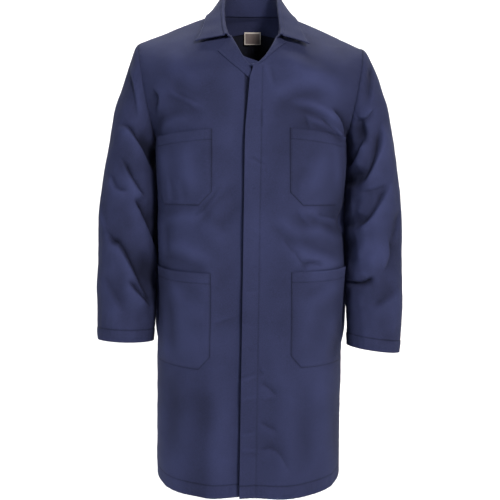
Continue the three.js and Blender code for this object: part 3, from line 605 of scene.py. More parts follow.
def stampedBrass(name):
    # stamped and tumbled brass snap: soft metal gloss with fine scratches
    material, tree = newMaterial(name)
    place = addNode(tree, "ShaderNodeTexCoord")
    scratch = addNode(tree, "ShaderNodeTexNoise", {"Vector": (place, 3), "Scale": 1800.0, "Detail": 4.0})
    rough = addNode(tree, "ShaderNodeMapRange", {"Value": (scratch, 0), "To Min": 0.22, "To Max": 0.42})
    tone = addNode(tree, "ShaderNodeMix", {0: (scratch, 0), 6: linearColor("#a98f55"), 7: linearColor("#cdb67c")},
                   data_type="RGBA")
    metal = addNode(tree, "ShaderNodeBsdfPrincipled", {
        "Base Color": (tone, 2), "Roughness": (rough, 0), "Metallic": 1.0})
    addNode(tree, "ShaderNodeOutputMaterial", {"Surface": (metal, 0)})
    return material


def wovenLabel(name, wide, tall, border=0.002):
    # damask-woven polyester label: fine cross ribs, a grey ground inside a pale border, no lettering
    material, tree = newMaterial(name)
    uv = addNode(tree, "ShaderNodeUVMap", uv_map="cloth")
    split = addNode(tree, "ShaderNodeSeparateXYZ", {"Vector": (uv, 0)})
    past = []
    for axis, span in ((0, wide), (1, tall)):  # how far past the inner edge of the border, along each side
        centred = addNode(tree, "ShaderNodeMath", {0: (split, axis), 1: span / 2}, operation="SUBTRACT")
        away = addNode(tree, "ShaderNodeMath", {0: (centred, 0)}, operation="ABSOLUTE")
        past.append(addNode(tree, "ShaderNodeMath", {0: (away, 0), 1: span / 2 - border}, operation="SUBTRACT"))
    furthest = addNode(tree, "ShaderNodeMath", {0: (past[0], 0), 1: (past[1], 0)}, operation="MAXIMUM")
    pale = addNode(tree, "ShaderNodeMapRange", {"Value": (furthest, 0), "From Min": -0.0003, "From Max": 0.0003})
    weftPitch = 0.0006
    weft = addNode(tree, "ShaderNodeTexWave", {
        "Vector": (uv, 0), "Scale": 2 * np.pi / (20 * weftPitch), "Distortion": 0.3}, bands_direction="Y")
    ground, edge = [addNode(tree, "ShaderNodeMix", {0: (weft, 1), 6: linearColor(low), 7: linearColor(high)},
                            data_type="RGBA") for low, high in (("#5d5453", "#756a68"), ("#c2bcb4", "#ded9d2"))]
    tone = addNode(tree, "ShaderNodeMix", {0: (pale, 0), 6: (ground, 2), 7: (edge, 2)}, data_type="RGBA")
    bump = addNode(tree, "ShaderNodeBump", {"Strength": 0.4, "Distance": 0.0002, "Height": (weft, 1)})
    woven = addNode(tree, "ShaderNodeBsdfPrincipled", {
        "Base Color": (tone, 2), "Roughness": 0.6, "Normal": (bump, 0), "Sheen Weight": 0.2})
    addNode(tree, "ShaderNodeOutputMaterial", {"Surface": (woven, 0)})
    return material


labelSize = dict(wide=0.038, tall=0.027, thick=0.0006)
shellTwill = workTwill("navyWorkTwill", "#363c5f", "#141729", sheen=0.04)
# the same twill in darker colours: painted shade for the inside of the coat and its hidden facings
shadedInnerTwill = workTwill("navyTwillInsidePaintedShade", "#181b2a", "#0a0c14", sheen=0.02)
navyThread = spunThread("navyThread", "#262b44")
brass = stampedBrass("stampedBrass")
labelCloth = wovenLabel("wovenLabel", labelSize["wide"], labelSize["tall"])
print("materials ready")

placket = dict(foldTopX=0.023, foldBottomX=0.010, reach=0.033, topReach=0.023, underReach=0.030,
               underBlend=0.062, stepIn=0.0085, flyInset=0.004, flyDepth=0.0028,
               snapTop=0.236, snapPitch=0.157, snapCount=4, snapFromFold=0.010)
cloth = dict(thickness=0.001, hem=0.025, panelWidth=0.28, paintedShadeHeight=0.006)
hemLine = hemZ + cloth["hem"]


def bandReach(z):  # stitched line to the band's free edge, narrower above the armpit
    return np.interp(z, [-1, -0.27, breakZ], [placket["reach"], placket["reach"], placket["topReach"]])


def underlap(side, x, z):  # the right front steps in to pass under the left
    if side == "left":
        return np.zeros_like(x)
    share = smooth((placket["underBlend"] + placket["underReach"] - x) / placket["underBlend"])
    return -placket["stepIn"] * share * (1 - smooth((z - breakZ) / (-breakZ / 2)))


def groove(distance, depth=0.0006, width=0.0014):  # a stitched line pulls the cloth in
    return -depth * np.exp(-((distance / width) ** 2))


def aboveHem(x, z):  # height over the hem's stitched line
    return z - hemLine - body["hemRise"] * np.abs(x / 0.2) ** 2


# the two fronts, from the shoulder to the hem
def sideDrape(grid, side):  # the left side dips in at the waist
    if side == "left":
        x, z = grid[..., 0], grid[..., 2]
        dip = 0.013 * np.exp(-(((z + 0.450) / 0.026) ** 2)) * smooth((x - 0.12) / 0.075)
        dip = dip * np.exp(-np.maximum(grid[..., 1], 0) / 0.008)
        grid = grid - np.stack([dip, 0 * x, 0 * x], -1)
    return grid


def easeArmpit(grid, columns):  # evens out the bend between the lower and the upper surface
    weight = np.exp(-(((grid[..., 2] - pitZ) / 0.030) ** 2)) * smooth((1 - columns[None, :]) / 0.10)
    for _ in range(60):
        even = grid.copy()
        even[1:-1] = (grid[:-2] + 2 * grid[1:-1] + grid[2:]) / 4
        grid = mix(grid, even, weight[..., None])
    return grid


def snapPlaces():  # an even row beside the stitched line
    heights = [-placket["snapTop"] - placket["snapPitch"] * k for k in range(placket["snapCount"])]
    return [(foldX(z) - placket["snapFromFold"], z) for z in heights]


def frontSheet(side, columns, rowsZ, depth=0.0, detail=True):
    # rows follow height on the middle line, columns run from the front edge to the side or armhole
    row = rowOfZ(rowsZ)[:, None]
    z = zOfRow(row)
    if side == "left":
        low = foldX(z) - bandReach(z) + 0.0045 * smooth((z + 0.168) / 0.026)
        start = np.where(z <= breakZ, low, np.maximum(rollX(side, z), low))
    else:
        low = np.full_like(z, -placket["underReach"])
        start = np.where(z <= breakZ, low, mix(low, rollX(side, z), smooth((z - breakZ) / 0.03)))
    first = startAngle(side, row, start)
    last = np.where(row <= 0, np.pi / 2, lastAngle(np.clip(row, 0, 1)))
    grid = easeArmpit(frontPoint(side, row, mix(first, last, columns[None, :])), columns)
    normals = outward(grid, gridNormals(grid), axisLine(grid))
    x, zz = grid[..., 0], grid[..., 2]
    relief = frontRelief(signOf(side) * x, zz)
    edgeFade = smooth((1 - columns[None, :]) / 0.05)  # seams stay where the frame has them
    fromSeam = (1 - columns[None, :]) * cloth["panelWidth"]
    pucker = np.sin(2 * np.pi * zz / 0.015 + 2 * np.sin(zz / 0.023)) * np.exp(-(((fromSeam - 0.008) / 0.006) ** 2))
    total = relief * edgeFade + underlap(side, x, zz) - depth + 0.0004 * pucker
    # painted shade: darker in fold hollows and along the side seam, lighter on crests; the band's stitched line and the
    # hem's stitched line are painted darker too
    tone = relief / cloth["paintedShadeHeight"] - 0.8 * np.exp(-((fromSeam / 0.0022) ** 2))
    if detail:
        if side == "left":
            total = total + groove(x - foldX(zz), 0.0006) * (zz < breakZ)
            tone = tone + groove(x - foldX(zz), 0.5, 0.0014) * (zz < breakZ)
            lift = smooth((foldX(zz) - x) / 0.03) * (zz < breakZ + 0.02)
            between = 0.5 + 0.5 * np.sin(2 * np.pi * (-zz - placket["snapTop"]) / placket["snapPitch"] - 1.57)
            total = total + lift * (0.0014 + 0.0034 * between)
            for snapX, snapZ in snapPlaces():
                r = np.hypot(x - snapX, zz - snapZ)
                total = total + 0.0009 * smooth((0.0062 - r) / 0.0026) - 0.0005 * np.exp(-((r - 0.008) / 0.003) ** 2)
        if side == "right":
            # painted shadow of the band on the right front: the strip beside the band's free edge is pushed in and
            # darkened
            hidden = smooth((placket["reach"] - foldX(zz) + 0.0045 - x) / 0.004) * (zz < breakZ)
            total = total - 0.0015 * hidden
            tone = tone - 1.2 * hidden
        hemGap = aboveHem(x, zz)
        wavy = np.sin(2 * np.pi * x / 0.013 + 3 * np.sin(x / 0.02))
        total = total + groove(hemGap, 0.0006) + 0.0003 * smooth(-hemGap / 0.002) * wavy
        tone = tone + groove(hemGap, 0.8, 0.0016)
    grid = sideDrape(grid + normals * total[..., None], side)
    return grid, normals, np.clip(tone, -1.2, 1)


panelRows = denser(hemZ, 0.0, 0.0032, lines=[hemLine, hemLine + 0.007, hemLine + 0.012], near=0.003, fine=0.0012)
panelColumns = np.unique(np.concatenate([np.linspace(0, 0.28, 46), np.linspace(0.28, 1, 74)]))

pieces = {}
panels = {}  # grid and normals of each panel, before mirroring, for the thread
bodyStitches = []  # path and normals of each stitched line
for side in ("left", "right"):
    name = side + "Front"
    *panels[name], tone = frontSheet(side, panelColumns, panelRows)
    pieces[name] = sheetPiece(name, panels[name][0] * mirrorOf(side), cloth["thickness"], shellTwill, paintedShade=tone)
    name = side + "Facing"
    inside, _, _ = frontSheet(side, np.linspace(0, 0.27, 22), panelRows[::2], depth=0.0019, detail=False)
    if side == "left":  # stops at the stitched line, so that the band folds freely
        inside = inside[:, 6:]
    pieces[name] = sheetPiece(name, inside * mirrorOf(side), cloth["thickness"], shadedInnerTwill)
print("fronts ready")

# the two backs, sewn on the middle line
backFolds = [  # as frontFolds
    ((0.215, -0.250), (0.110, -0.330), 0.016, 0.0040, 0.008, 1),
    ((0.205, -0.290), (0.120, -0.390), 0.014, 0.0034, 0.0, 1),
    ((0.180, -0.130), (0.130, -0.270), 0.020, 0.0030, 0.0, -1),
    ((0.060, -0.120), (0.090, -0.330), 0.028, 0.0022, 0.0, 1),
    ((0.190, -0.470), (0.060, -0.510), 0.016, 0.0036, -0.006, 1),
    ((0.170, -0.520), (0.040, -0.470), 0.018, 0.0028, 0.0, -1),
    ((0.150, -0.560), (0.170, -0.960), 0.022, 0.0040, 0.006, 1),
    ((0.080, -0.600), (0.095, -0.985), 0.024, 0.0042, 0.0, -1),
    ((0.030, -0.640), (0.034, -0.985), 0.020, 0.0026, 0.0, 1),
]


def backSheet(side, columns, rowsZ, depth=0.0, detail=True):
    # columns run from the middle seam to the side or armhole
    row = rowOfZ(rowsZ)[:, None]
    last = np.where(row <= 0, np.pi / 2, lastAngle(np.clip(row, 0, 1)))
    grid = easeArmpit(backPoint(row, last * columns[None, :]), columns)
    normals = outward(grid, gridNormals(grid), axisLine(grid))
    normals[:, 0] = unit(normals[:, 0] * [0, 1, 1])
    sign = signOf(side)
    x, z = grid[..., 0], grid[..., 2]
    seed = 11 if side == "left" else 17
    relief = ripples(sign * x, z, 0.15, 0.0010, seed, 1.6) + ripples(sign * x, z, 0.05, 0.0004, seed + 1, 1.4)
    for k, (a, b, width, height, bend, hollow) in enumerate(backFolds):
        shift = 0.0 if side == "left" else 0.014 * np.sin(2.3 * k + 1)
        size = foldSize["back"] * height * (1 if side == "left" else 0.85)
        relief = relief + crease(x, z, (a[0], a[1] + shift), (b[0], b[1] - shift), width, size, bend, hollow)
    full = smooth((-0.31 - z) / 0.06) * smooth((z + 0.77) / 0.10)  # the back hangs fuller than the front
    relief = relief + 0.014 * full * smooth((1 - columns[None, :]) / 0.07) * smooth((columns[None, :] - 0.55) / 0.3)
    relief = relief * smooth(x / 0.03) * smooth((0.0 - z) / 0.06)
    total = relief * smooth((1 - columns[None, :]) / 0.05) - depth
    # painted shade: darker in fold hollows and along the side seam, lighter on crests
    tone = relief / cloth["paintedShadeHeight"] - 0.8 * np.exp(-(((1 - columns[None, :]) * cloth["panelWidth"] / 0.0022) ** 2))
    if detail:
        total = total + groove(x - 0.005, 0.0006, 0.0012) - 0.0009 * np.exp(-x / 0.0012)
        hemGap = aboveHem(x, z)
        total = total + groove(hemGap, 0.0006)
        # painted shade in the hem's stitched line, the middle seam's stitched line and along the middle seam
        tone = tone + groove(hemGap, 0.8, 0.0016) + groove(x - 0.005, 0.8, 0.0014) - np.exp(-x / 0.0015)
    grid = grid + normals * total[..., None]
    grid[:, 0, 0] = body["seam"] / 3  # the halves meet on the middle line
    return sideDrape(grid, side), normals, np.clip(tone, -1.2, 1)


byMiddle = [0, 0.002, 0.005, 0.009, 0.013, 0.018, 0.023, 0.028]
backColumns = np.unique(np.concatenate([byMiddle, np.linspace(0.035, 1, 84)]))
for side in ("left", "right"):
    name = side + "Back"
    *panels[name], tone = backSheet(side, backColumns, panelRows)
    pieces[name] = sheetPiece(name, panels[name][0] * mirrorOf(side), cloth["thickness"], shellTwill, tone, shadedInnerTwill)

neckRows = np.linspace(-0.028, 0.0, 12)
half, _, _ = backSheet("left", np.linspace(0, 0.4, 26), neckRows, depth=0.0022, detail=False)
half[:, 0, 0] = 0
neckGrid = np.concatenate([half[:, :0:-1] * [-1, 1, 1], half], 1)
pieces["backNeckFacing"] = sheetPiece("backNeckFacing", neckGrid, cloth["thickness"], shellTwill)
print("backs ready")

# the strip under the front band
stripZ = np.linspace(hemZ + 0.004, breakZ - 0.012, 190)
share = np.linspace(0, 1, 12)
reach = bandReach(stripZ) - placket["flyInset"]
stripX = foldX(stripZ)[:, None] - 0.0006 - reach[:, None] * share[None, :]
stripY = -frontDepth(stripZ)[:, None] * np.ones_like(stripX) - body["seam"] + placket["flyDepth"]
strip = np.stack([stripX, stripY, np.repeat(stripZ[:, None], 12, 1)], -1)
strip[..., 1] -= ripples(stripX, strip[..., 2], 0.05, 0.0001, 21)
pieces["concealedStrip"] = sheetPiece("concealedStrip", strip, 0.0011, shadedInnerTwill)

# four snaps, stud and socket
snap = dict(
    hole=0.002, socketRadius=0.0055, studRadius=0.005, socketRing=(0.0015, 0.0025), studRing=(0.0115, 0.0125),
    socket=[(0.0029, 0.0048), (0.0029, 0.0060), (0.0032, 0.0063), (0.0039, 0.0063), (0.0043, 0.0058), (0.0048, 0.0058),
            (0.0053, 0.0055), (0.0055, 0.0050), (0.0054, 0.0045), (0.0050, 0.0043), (0.0032, 0.0043)],
    stud=[(0.00001, 0.0057), (0.0010, 0.0057), (0.0015, 0.0059), (0.0017, 0.0062), (0.0015, 0.0066), (0.0019, 0.0068),
          (0.0036, 0.0069), (0.0044, 0.0072), (0.0049, 0.0075), (0.0050, 0.0079), (0.0047, 0.0082), (0.00001, 0.0082)],
)


def turnedPiece(name, profile, place, bodyName, node, solid=False):
    # profile of (radius, depth) turned round an axis along Y; it closes on itself unless the piece is solid
    profile = np.array(profile, float)
    turn = np.linspace(0, 2 * np.pi, 33)[:-1]
    x, z = place
    front = -frontDepth(z) - body["seam"]
    grid = np.stack([x + profile[:, None, 0] * np.cos(turn), front + profile[:, None, 1] + 0 * turn,
                     z + profile[:, None, 0] * np.sin(turn)], -1)
    piece = gridMesh(name, grid if solid else np.concatenate([grid, grid[:1]], 0), closed=True, hung=False)
    piece.data.materials.append(brass)
    bm = bmesh.new()
    bm.from_mesh(piece.data)
    bmesh.ops.remove_doubles(bm, verts=bm.verts, dist=1e-6)
    bmesh.ops.recalc_face_normals(bm, faces=bm.faces)
    bm.to_mesh(piece.data)
    bm.free()
    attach(piece, bodyName)
    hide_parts(node)


def ringProfile(radius, near, far):  # flat ring with rounded rims
    hole = snap["hole"]
    r = (far - near) * 0.35
    return [(hole, near + r), (hole + r, near), (radius - r, near), (radius, near + r), (radius, far - r),
            (radius - r, far), (hole + r, far), (hole, far - r)]


socketRing = ringProfile(snap["socketRadius"], *snap["socketRing"])
studRing = ringProfile(snap["studRadius"], *snap["studRing"])
for number, place in enumerate(snapPlaces(), 1):
    n = str(number)
    turnedPiece("socketRing" + n, socketRing, place, "front_band", "socket_ring_" + n)
    turnedPiece("snapSocket" + n, snap["socket"], place, "front_band", "snap_socket_" + n)
    turnedPiece("snapStud" + n, snap["stud"], place, "root", "snap_stud_" + n, solid=True)
    turnedPiece("studRing" + n, studRing, place, "root", "stud_ring_" + n)
print("closure ready")

# two chest pockets and two lower pockets
pockets = dict(
    chest=dict(top=0.272, tall=0.150, inner=0.078, outerAngle=68, mitre=0.026, hem=0.021, shape=0.85, stitch=0.0028),
    lower=dict(top=0.552, tall=0.195, inner=0.080, outerAngle=76, mitre=0.025, hem=0.021, shape=0.85, stitch=0.0028),
)
pocketSlope = dict(  # how far the corners hang off the level: top inner, top outer, low inner, low outer
    rightchest=(0.003, -0.004, -0.001, 0.003), leftchest=(0.005, -0.006, -0.002, 0.001),
    rightlower=(-0.007, 0.007, -0.004, 0.005), leftlower=(-0.004, 0.005, 0.0, 0.002),
)
pocketFolds = dict(  # from, to (height above the pocket's foot), width, height, side of the hollow
    rightchest=[((0.165, 0.006), (0.172, 0.060), 0.006, 0.0014, 1),
                ((0.140, 0.004), (0.150, 0.050), 0.007, 0.0014, 1),
                ((0.115, 0.020), (0.135, 0.125), 0.018, 0.0018, -1),
                ((0.180, 0.050), (0.178, 0.120), 0.010, 0.0012, 1)],
    leftchest=[((0.110, 0.030), (0.150, 0.110), 0.016, 0.0020, 1), ((0.100, 0.008), (0.102, 0.060), 0.007, 0.0010, 1),
               ((0.178, 0.040), (0.172, 0.120), 0.008, 0.0018, -1)],
    rightlower=[((0.170, 0.020), (0.182, 0.150), 0.010, 0.0024, 1), ((0.130, 0.010), (0.150, 0.160), 0.018, 0.0020, -1),
                ((0.095, 0.100), (0.180, 0.178), 0.014, 0.0016, 1)],
    leftlower=[((0.110, 0.120), (0.178, 0.165), 0.014, 0.0024, 1), ((0.150, 0.010), (0.168, 0.120), 0.014, 0.0018, -1),
               ((0.100, 0.020), (0.110, 0.130), 0.016, 0.0014, 1)],
)


def pocketGrid(name, side):
    # a patch with cut lower corners, laid on the front: u across from the inner side, v down from the mouth
    p = pockets[name]
    sign = signOf(side)
    v = denser(0, 1, 0.022, lines=[p["hem"] / p["tall"], 1 - 0.0035 / p["tall"]], near=0.018, fine=0.006)[:, None]
    rim = np.array([0, 0.007, 0.014, 0.021, 0.028, 0.036, 0.045])
    u = np.unique(np.concatenate([rim, np.linspace(0.06, 0.94, 40), 1 - rim]))[None, :]
    topIn, topOut, lowIn, lowOut = pocketSlope[side + name]
    z = -p["top"] - p["tall"] * v
    first = angleOf(np.full_like(z, p["inner"]), z)
    last = np.radians(p["outerAngle"])
    cut = np.maximum(0, p["mitre"] - p["tall"] * (1 - v)) / p["tall"]
    angle = mix(first, last, mix(cut, 1 - cut, u))
    z = z + mix(mix(topIn, topOut, u), mix(lowIn, lowOut, u), v) - 0.002 * np.sin(np.pi * u) * (1 - v)
    x = torsoHalf(z) * np.sin(angle) ** body["power"]
    y = -frontDepth(z) * frontShare(angle)
    out = unit(np.stack([x / torsoHalf(z) ** 2, y / frontDepth(z) ** 2, 0 * x], -1))
    fromSide = np.minimum(u, 1 - u) * (p["tall"] * p["shape"]) + 0 * v
    fromEnd = np.minimum(fromSide, (1 - v) * p["tall"] + 0 * u)
    puff = 0.0012 * smooth(fromEnd / 0.012) + 0.0026 * np.sin(np.pi * u) * (1 - v) ** 2
    puff = puff + 0.0035 * smooth((u - 0.72) / 0.28) * (1 - smooth((u - 0.96) / 0.04)) * (1 - v) ** 3
    stitched = groove(fromEnd - 0.0028, 0.0002, 0.0012) + groove((v + 0 * u) * p["tall"] - p["hem"], 0.0005, 0.0012)
    own = ripples(sign * x, z, 0.06, 0.0005, 31 + len(name) * (2 + sign), 1.2) * smooth(fromEnd / 0.02)
    foot = -p["top"] - p["tall"]
    for a, b, width, height, hollow in pocketFolds[side + name]:
        own = own + crease(x, z, (a[0], foot + a[1]), (b[0], foot + b[1]), width, height, 0.0, hollow)
    below = frontRelief(sign * x, z)
    total = 0.0015 + puff + stitched + own + below
    total = total + underlap(side, x, z)
    # painted shadow round the pocket's edge and in its stitched lines, where it lies on the front
    edge = groove(fromEnd - 0.0028, 0.3, 0.0012) - 1.2 * np.exp(-((fromEnd / 0.0012) ** 2))
    tone = (own + below) / cloth["paintedShadeHeight"] + edge + groove((v + 0 * u) * p["tall"] - p["hem"], 0.5, 0.0014)
    grid = sideDrape(np.stack([x, y - body["seam"], z], -1) + out * total[..., None], side)
    return grid * mirrorOf(side), out * mirrorOf(side), u, v, np.clip(tone, -1.2, 1)


def nearest(values, wanted):  # index of the closest grid line
    return int(np.argmin(np.abs(values - wanted)))


for side in ("left", "right"):
    for name in ("chest", "lower"):
        grid, out, u, v, tone = pocketGrid(name, side)
        key = side + name.capitalize() + "Pocket"
        pieces[key] = sheetPiece(key, grid, cloth["thickness"], shellTwill, paintedShade=tone)
        p = pockets[name]
        inset = p["stitch"] / (p["tall"] * p["shape"])
        left, right = nearest(u[0], inset), nearest(u[0], 1 - inset)
        low, mouth = nearest(v[:, 0], 1 - p["stitch"] / p["tall"]), nearest(v[:, 0], p["hem"] / p["tall"])
        rim = [np.concatenate([a[:low, left], a[low, left:right], a[:low + 1, right][::-1]]) for a in (grid, out)]
        bodyStitches += [tuple(rim), (grid[mouth, left:right], out[mouth, left:right])]
print("pockets ready")

# the turned lapels
lapels = dict(  # share of the way up the fold line, and the free edge's place there
    right=dict(roll=[0.0, 0.08, 0.19, 0.3, 0.41, 0.49],
               edge=[(-0.004, -0.170), (0.009, -0.161), (0.027, -0.145), (0.047, -0.127), (0.0675, -0.1095),
                     (0.058, -0.093)]),
    left=dict(roll=[0.0, 0.05, 0.12, 0.2, 0.3, 0.4, 0.49],
              edge=[(0.004, -0.1445), (0.0225, -0.1365), (0.031, -0.1295), (0.040, -0.1195), (0.051, -0.1085),
                    (0.062, -0.0975), (0.0725, -0.086)]),
)


def lapelSheet(side):
    # inner leg behind the front, half turn round the fold line, outer leg laid on the front
    d = lapels[side]
    stations = np.linspace(0, len(d["roll"]) - 1, 60)
    knot = np.arange(len(d["roll"]))
    f = np.interp(stations, knot, d["roll"])
    edgeAxes = np.array(d["edge"]).T
    if side == "right":  # straight edges to a corner
        ex, ez = [np.interp(stations, knot, axis) for axis in edgeAxes]
    else:
        ex, ez = [curveThrough(list(zip(knot, axis)), stations) for axis in edgeAxes]
    rz = breakZ * (1 - f)
    rx = rollX(side, rz) + 0.0006
    w = np.linspace(0, 1, 26)[None, :]
    x = mix(rx[:, None], ex[:, None], w)
    z = mix(rz[:, None], ez[:, None], w)
    row, angle = locate(side, np.maximum(x, rollX(side, z) + 0.0004), z)
    p = frontPoint(side, row, angle)
    e = 1e-3
    up = frontPoint(side, np.clip(row + e, 0, 1), angle) - p
    over = frontPoint(side, row, angle + e) - p
    normal = unit(np.cross(over, up))
    normal = np.where((normal[..., 1:2] > 0), -normal, normal)
    base = np.stack([x, p[..., 1], z], -1)
    relief = frontRelief(signOf(side) * x, z) + underlap(side, x, z)
    reachOut = np.hypot(ex - rx, ez - rz)
    r = np.minimum(0.0026, 0.0009 + 0.3 * reachOut)[:, None]
    distance = np.hypot(x - rx[:, None], z - rz[:, None])
    low = np.minimum(0.0016, r * 0.8)
    pressed = groove(np.abs(distance - distance[:, -1:]) - 0.006, 0.0003)
    lift = relief + low + (r - low) * np.exp(-distance / 0.012) + pressed
    outer = base + normal * lift[..., None]
    across = unit(base[:, 3] - base[:, 0])[:, None]
    away = normal[:, :1]
    centre = base[:, :1] + away * relief[:, :1, None]
    arc = np.linspace(-np.pi / 2, np.pi / 2, 9)[:-1]
    turn = centre - across * (r * np.cos(arc))[..., None] + away * (r * np.sin(arc))[..., None]
    back = np.linspace(1, 0.08, 6) * np.minimum(0.016, reachOut)[:, None]
    inner = centre + across * back[..., None] - away * (r + 0.0004)[..., None]
    return np.concatenate([inner, turn, outer], 1), normal, outer


for side in ("left", "right"):
    grid, normal, outer = [part * mirrorOf(side) for part in lapelSheet(side)]
    key = side + "Lapel"
    flip = np.sum(gridNormals(grid)[:, -20:] * normal[:, -20:]) < 0
    piece = gridMesh(key, grid, flip=flip)
    piece.data.materials.append(shellTwill)
    pieces[key] = thicken(piece, 0.0012)
    bodyStitches.append((outer[:, 20] + normal[:, 20] * 0.0001, normal[:, 20]))
print("lapels ready")

# the collar, folded over along its top line
collar = dict(  # fold line and outer edge of the fall, from behind the middle to the front end
    fold=[(-0.040, 0.055, 0.061), (0, 0.060, 0.062), (0.038, 0.050, 0.061), (0.055, 0.014, 0.0488),
          (0.057, -0.034, 0.002), (0.053, -0.079, -0.047), (0.0480, -0.1055, -0.0735)],
    fall=[(-0.061, 0.084, 0.004), (0, 0.093, 0.006), (0.061, 0.082, 0.006), (0.092, 0.036, 0.003),
          (0.0965, -0.022, -0.009), (0.104, -0.065, -0.048), (0.1145, -0.1015, -0.0865)],
    radius=0.0036, thickness=0.0023, gorge=0.078, uneven=0.011,
)


def collarHalf(side, u):  # cross-sections: up the stand, a half turn, down the fall
    place = 1 + 5 * u
    fold, edge = [np.stack([curveThrough([(i, q[k]) for i, q in enumerate(collar[key])], place) for k in range(3)], -1)
                  for key in ("fold", "fall")]
    tangent = np.gradient(fold, axis=0)
    wider = smooth((u - 0.5) / 0.5) if side == "left" else 0 * u
    fold[:, 0] += collar["uneven"] * wider
    edge[:, 0] += collar["uneven"] / 2 * wider
    turn = np.clip(np.pi * u, 0, np.pi / 2)
    seamBack = np.stack([body["neckHalf"] * np.sin(turn), body["backNeckDepth"] * np.cos(turn),
                         body["backNeckRise"] * np.cos(turn)], -1)
    z = mix(0, -collar["gorge"], np.clip((u - 0.5) / 0.5, 0, 1))
    up = (z - breakZ) / -breakZ
    seamFront = np.stack([rollX(side, z), -frontDepth(z) * (1 - up**1.5), z], -1)
    seam = np.where((u < 0.5)[:, None], seamBack, seamFront)
    out = unit(np.stack([-tangent[:, 1], tangent[:, 0], 0 * u], -1))
    out = np.where(((out[:, 0] < 0) | ((u < 0.1) & (out[:, 1] < 0)))[:, None], -out, out)
    upward = unit(np.cross(tangent, out))
    upward = np.where(upward[:, 2:3] < 0, -upward, upward)
    r = collar["radius"]
    low = seam + 0.002 * unit(fold - seam)
    rise = np.linspace(0, 1, 14)[:-1]
    bow = (np.sin(np.pi * rise) * 0.0012)[None, :, None]
    stand = low[:, None] + rise[None, :, None] * (fold - low)[:, None] - out[:, None] * bow
    arc = np.linspace(0, np.pi, 11)
    bend = (fold + out * r)[:, None] - out[:, None] * (r * np.cos(arc))[None, :, None]
    bend = bend + upward[:, None] * (r * np.sin(arc))[None, :, None]
    far = fold + out * 2 * r
    drop = np.unique(np.concatenate([np.linspace(0, 0.86, 22), np.linspace(0.86, 1, 16)]))[1:]
    puff = (np.sin(np.pi * drop) ** 0.8 * 0.0014)[None, :, None]
    fallDir = unit(edge - far)
    lift = unit(np.cross(tangent, fallDir))
    lift = np.where(np.sum(lift * (out + 0.6 * upward), -1, keepdims=True) < 0, -lift, lift)
    fall = far[:, None] + drop[None, :, None] * (edge - far)[:, None] + lift[:, None] * puff
    length = np.linalg.norm(edge - far, axis=1)[:, None]
    pressed = groove((1 - drop)[None, :] * length - 0.006, 0.0003, 0.0012)
    return np.concatenate([stand, bend, fall + lift[:, None] * pressed[..., None]], 1)


u = np.unique(np.concatenate([np.linspace(0, 0.9, 60), np.linspace(0.9, 1, 24)]))
leftHalf, rightHalf = [collarHalf(side, u) * mirrorOf(side) for side in ("left", "right")]
collarGrid = np.concatenate([rightHalf[:0:-1], leftHalf], 0)
x, z = collarGrid[..., 0], collarGrid[..., 2]
collarNormals = gridNormals(collarGrid)
collarGrid = collarGrid + collarNormals * ripples(x, z + collarGrid[..., 1], 0.05, 0.0004, 41)[..., None]
collarPiece = gridMesh("collar", collarGrid, flip=np.sum(collarNormals[:, -20:, 2]) < 0)
collarPiece.data.materials.append(shellTwill)
pieces["collar"] = thicken(collarPiece, collar["thickness"], 0.0, 0.0009)
collarOut = collarNormals * (1 if np.sum(collarNormals[:, -20:, 2]) > 0 else -1)
stitched = slice(4, -4), -10  # stops short of both front ends
bodyStitches.append((collarGrid[stitched] + collarOut[stitched] * (collar["thickness"] / 2), collarOut[stitched]))
print("collar ready")

# the sleeves, round the arm and down to the cuff
sleeve = dict(
    rings=[  # outer x, outer z, inner x, inner z, front half depth, back half depth, middle in Y
        (0.242, -0.070, 0.2084, -0.270, 0.075, 0.085, 0.0),
        (0.257, -0.093, 0.209, -0.278, 0.077, 0.085, 0.0),
        (0.272, -0.127, 0.2095, -0.287, 0.079, 0.084, 0.0),
        (0.286, -0.168, 0.2095, -0.300, 0.080, 0.082, -0.001),
        (0.299, -0.211, 0.209, -0.324, 0.080, 0.080, -0.002),
        (0.313, -0.293, 0.208, -0.369, 0.078, 0.078, -0.003),
        (0.324, -0.360, 0.207, -0.424, 0.075, 0.075, -0.004),
        (0.330, -0.433, 0.206, -0.478, 0.072, 0.072, -0.006),
        (0.332, -0.505, 0.206, -0.532, 0.0648, 0.0648, -0.009),
        (0.333, -0.577, 0.206, -0.586, 0.0616, 0.0616, -0.013),
        (0.332, -0.650, 0.207, -0.641, 0.0584, 0.0584, -0.019),
        (0.330, -0.699, 0.209, -0.686, 0.0552, 0.0552, -0.024),
        (0.327, -0.731, 0.210, -0.708, 0.052, 0.052, -0.026),
    ],
    cuff=0.026,
    outerShift=dict(left=[0, 0, 0, 0, 0, -0.001, -0.003, -0.004, -0.005, -0.005, -0.005, -0.006, -0.006],
                    right=[0, -0.002, -0.004, -0.005, -0.004, -0.003, -0.002, 0, 0, 0, 0, 0, 0]),
    cuffShift=dict(left=[(0, 0), (0, -0.004), (-0.002, -0.010)], right=[(0.004, 0), (0.014, -0.001), (0.027, -0.001)]),
)
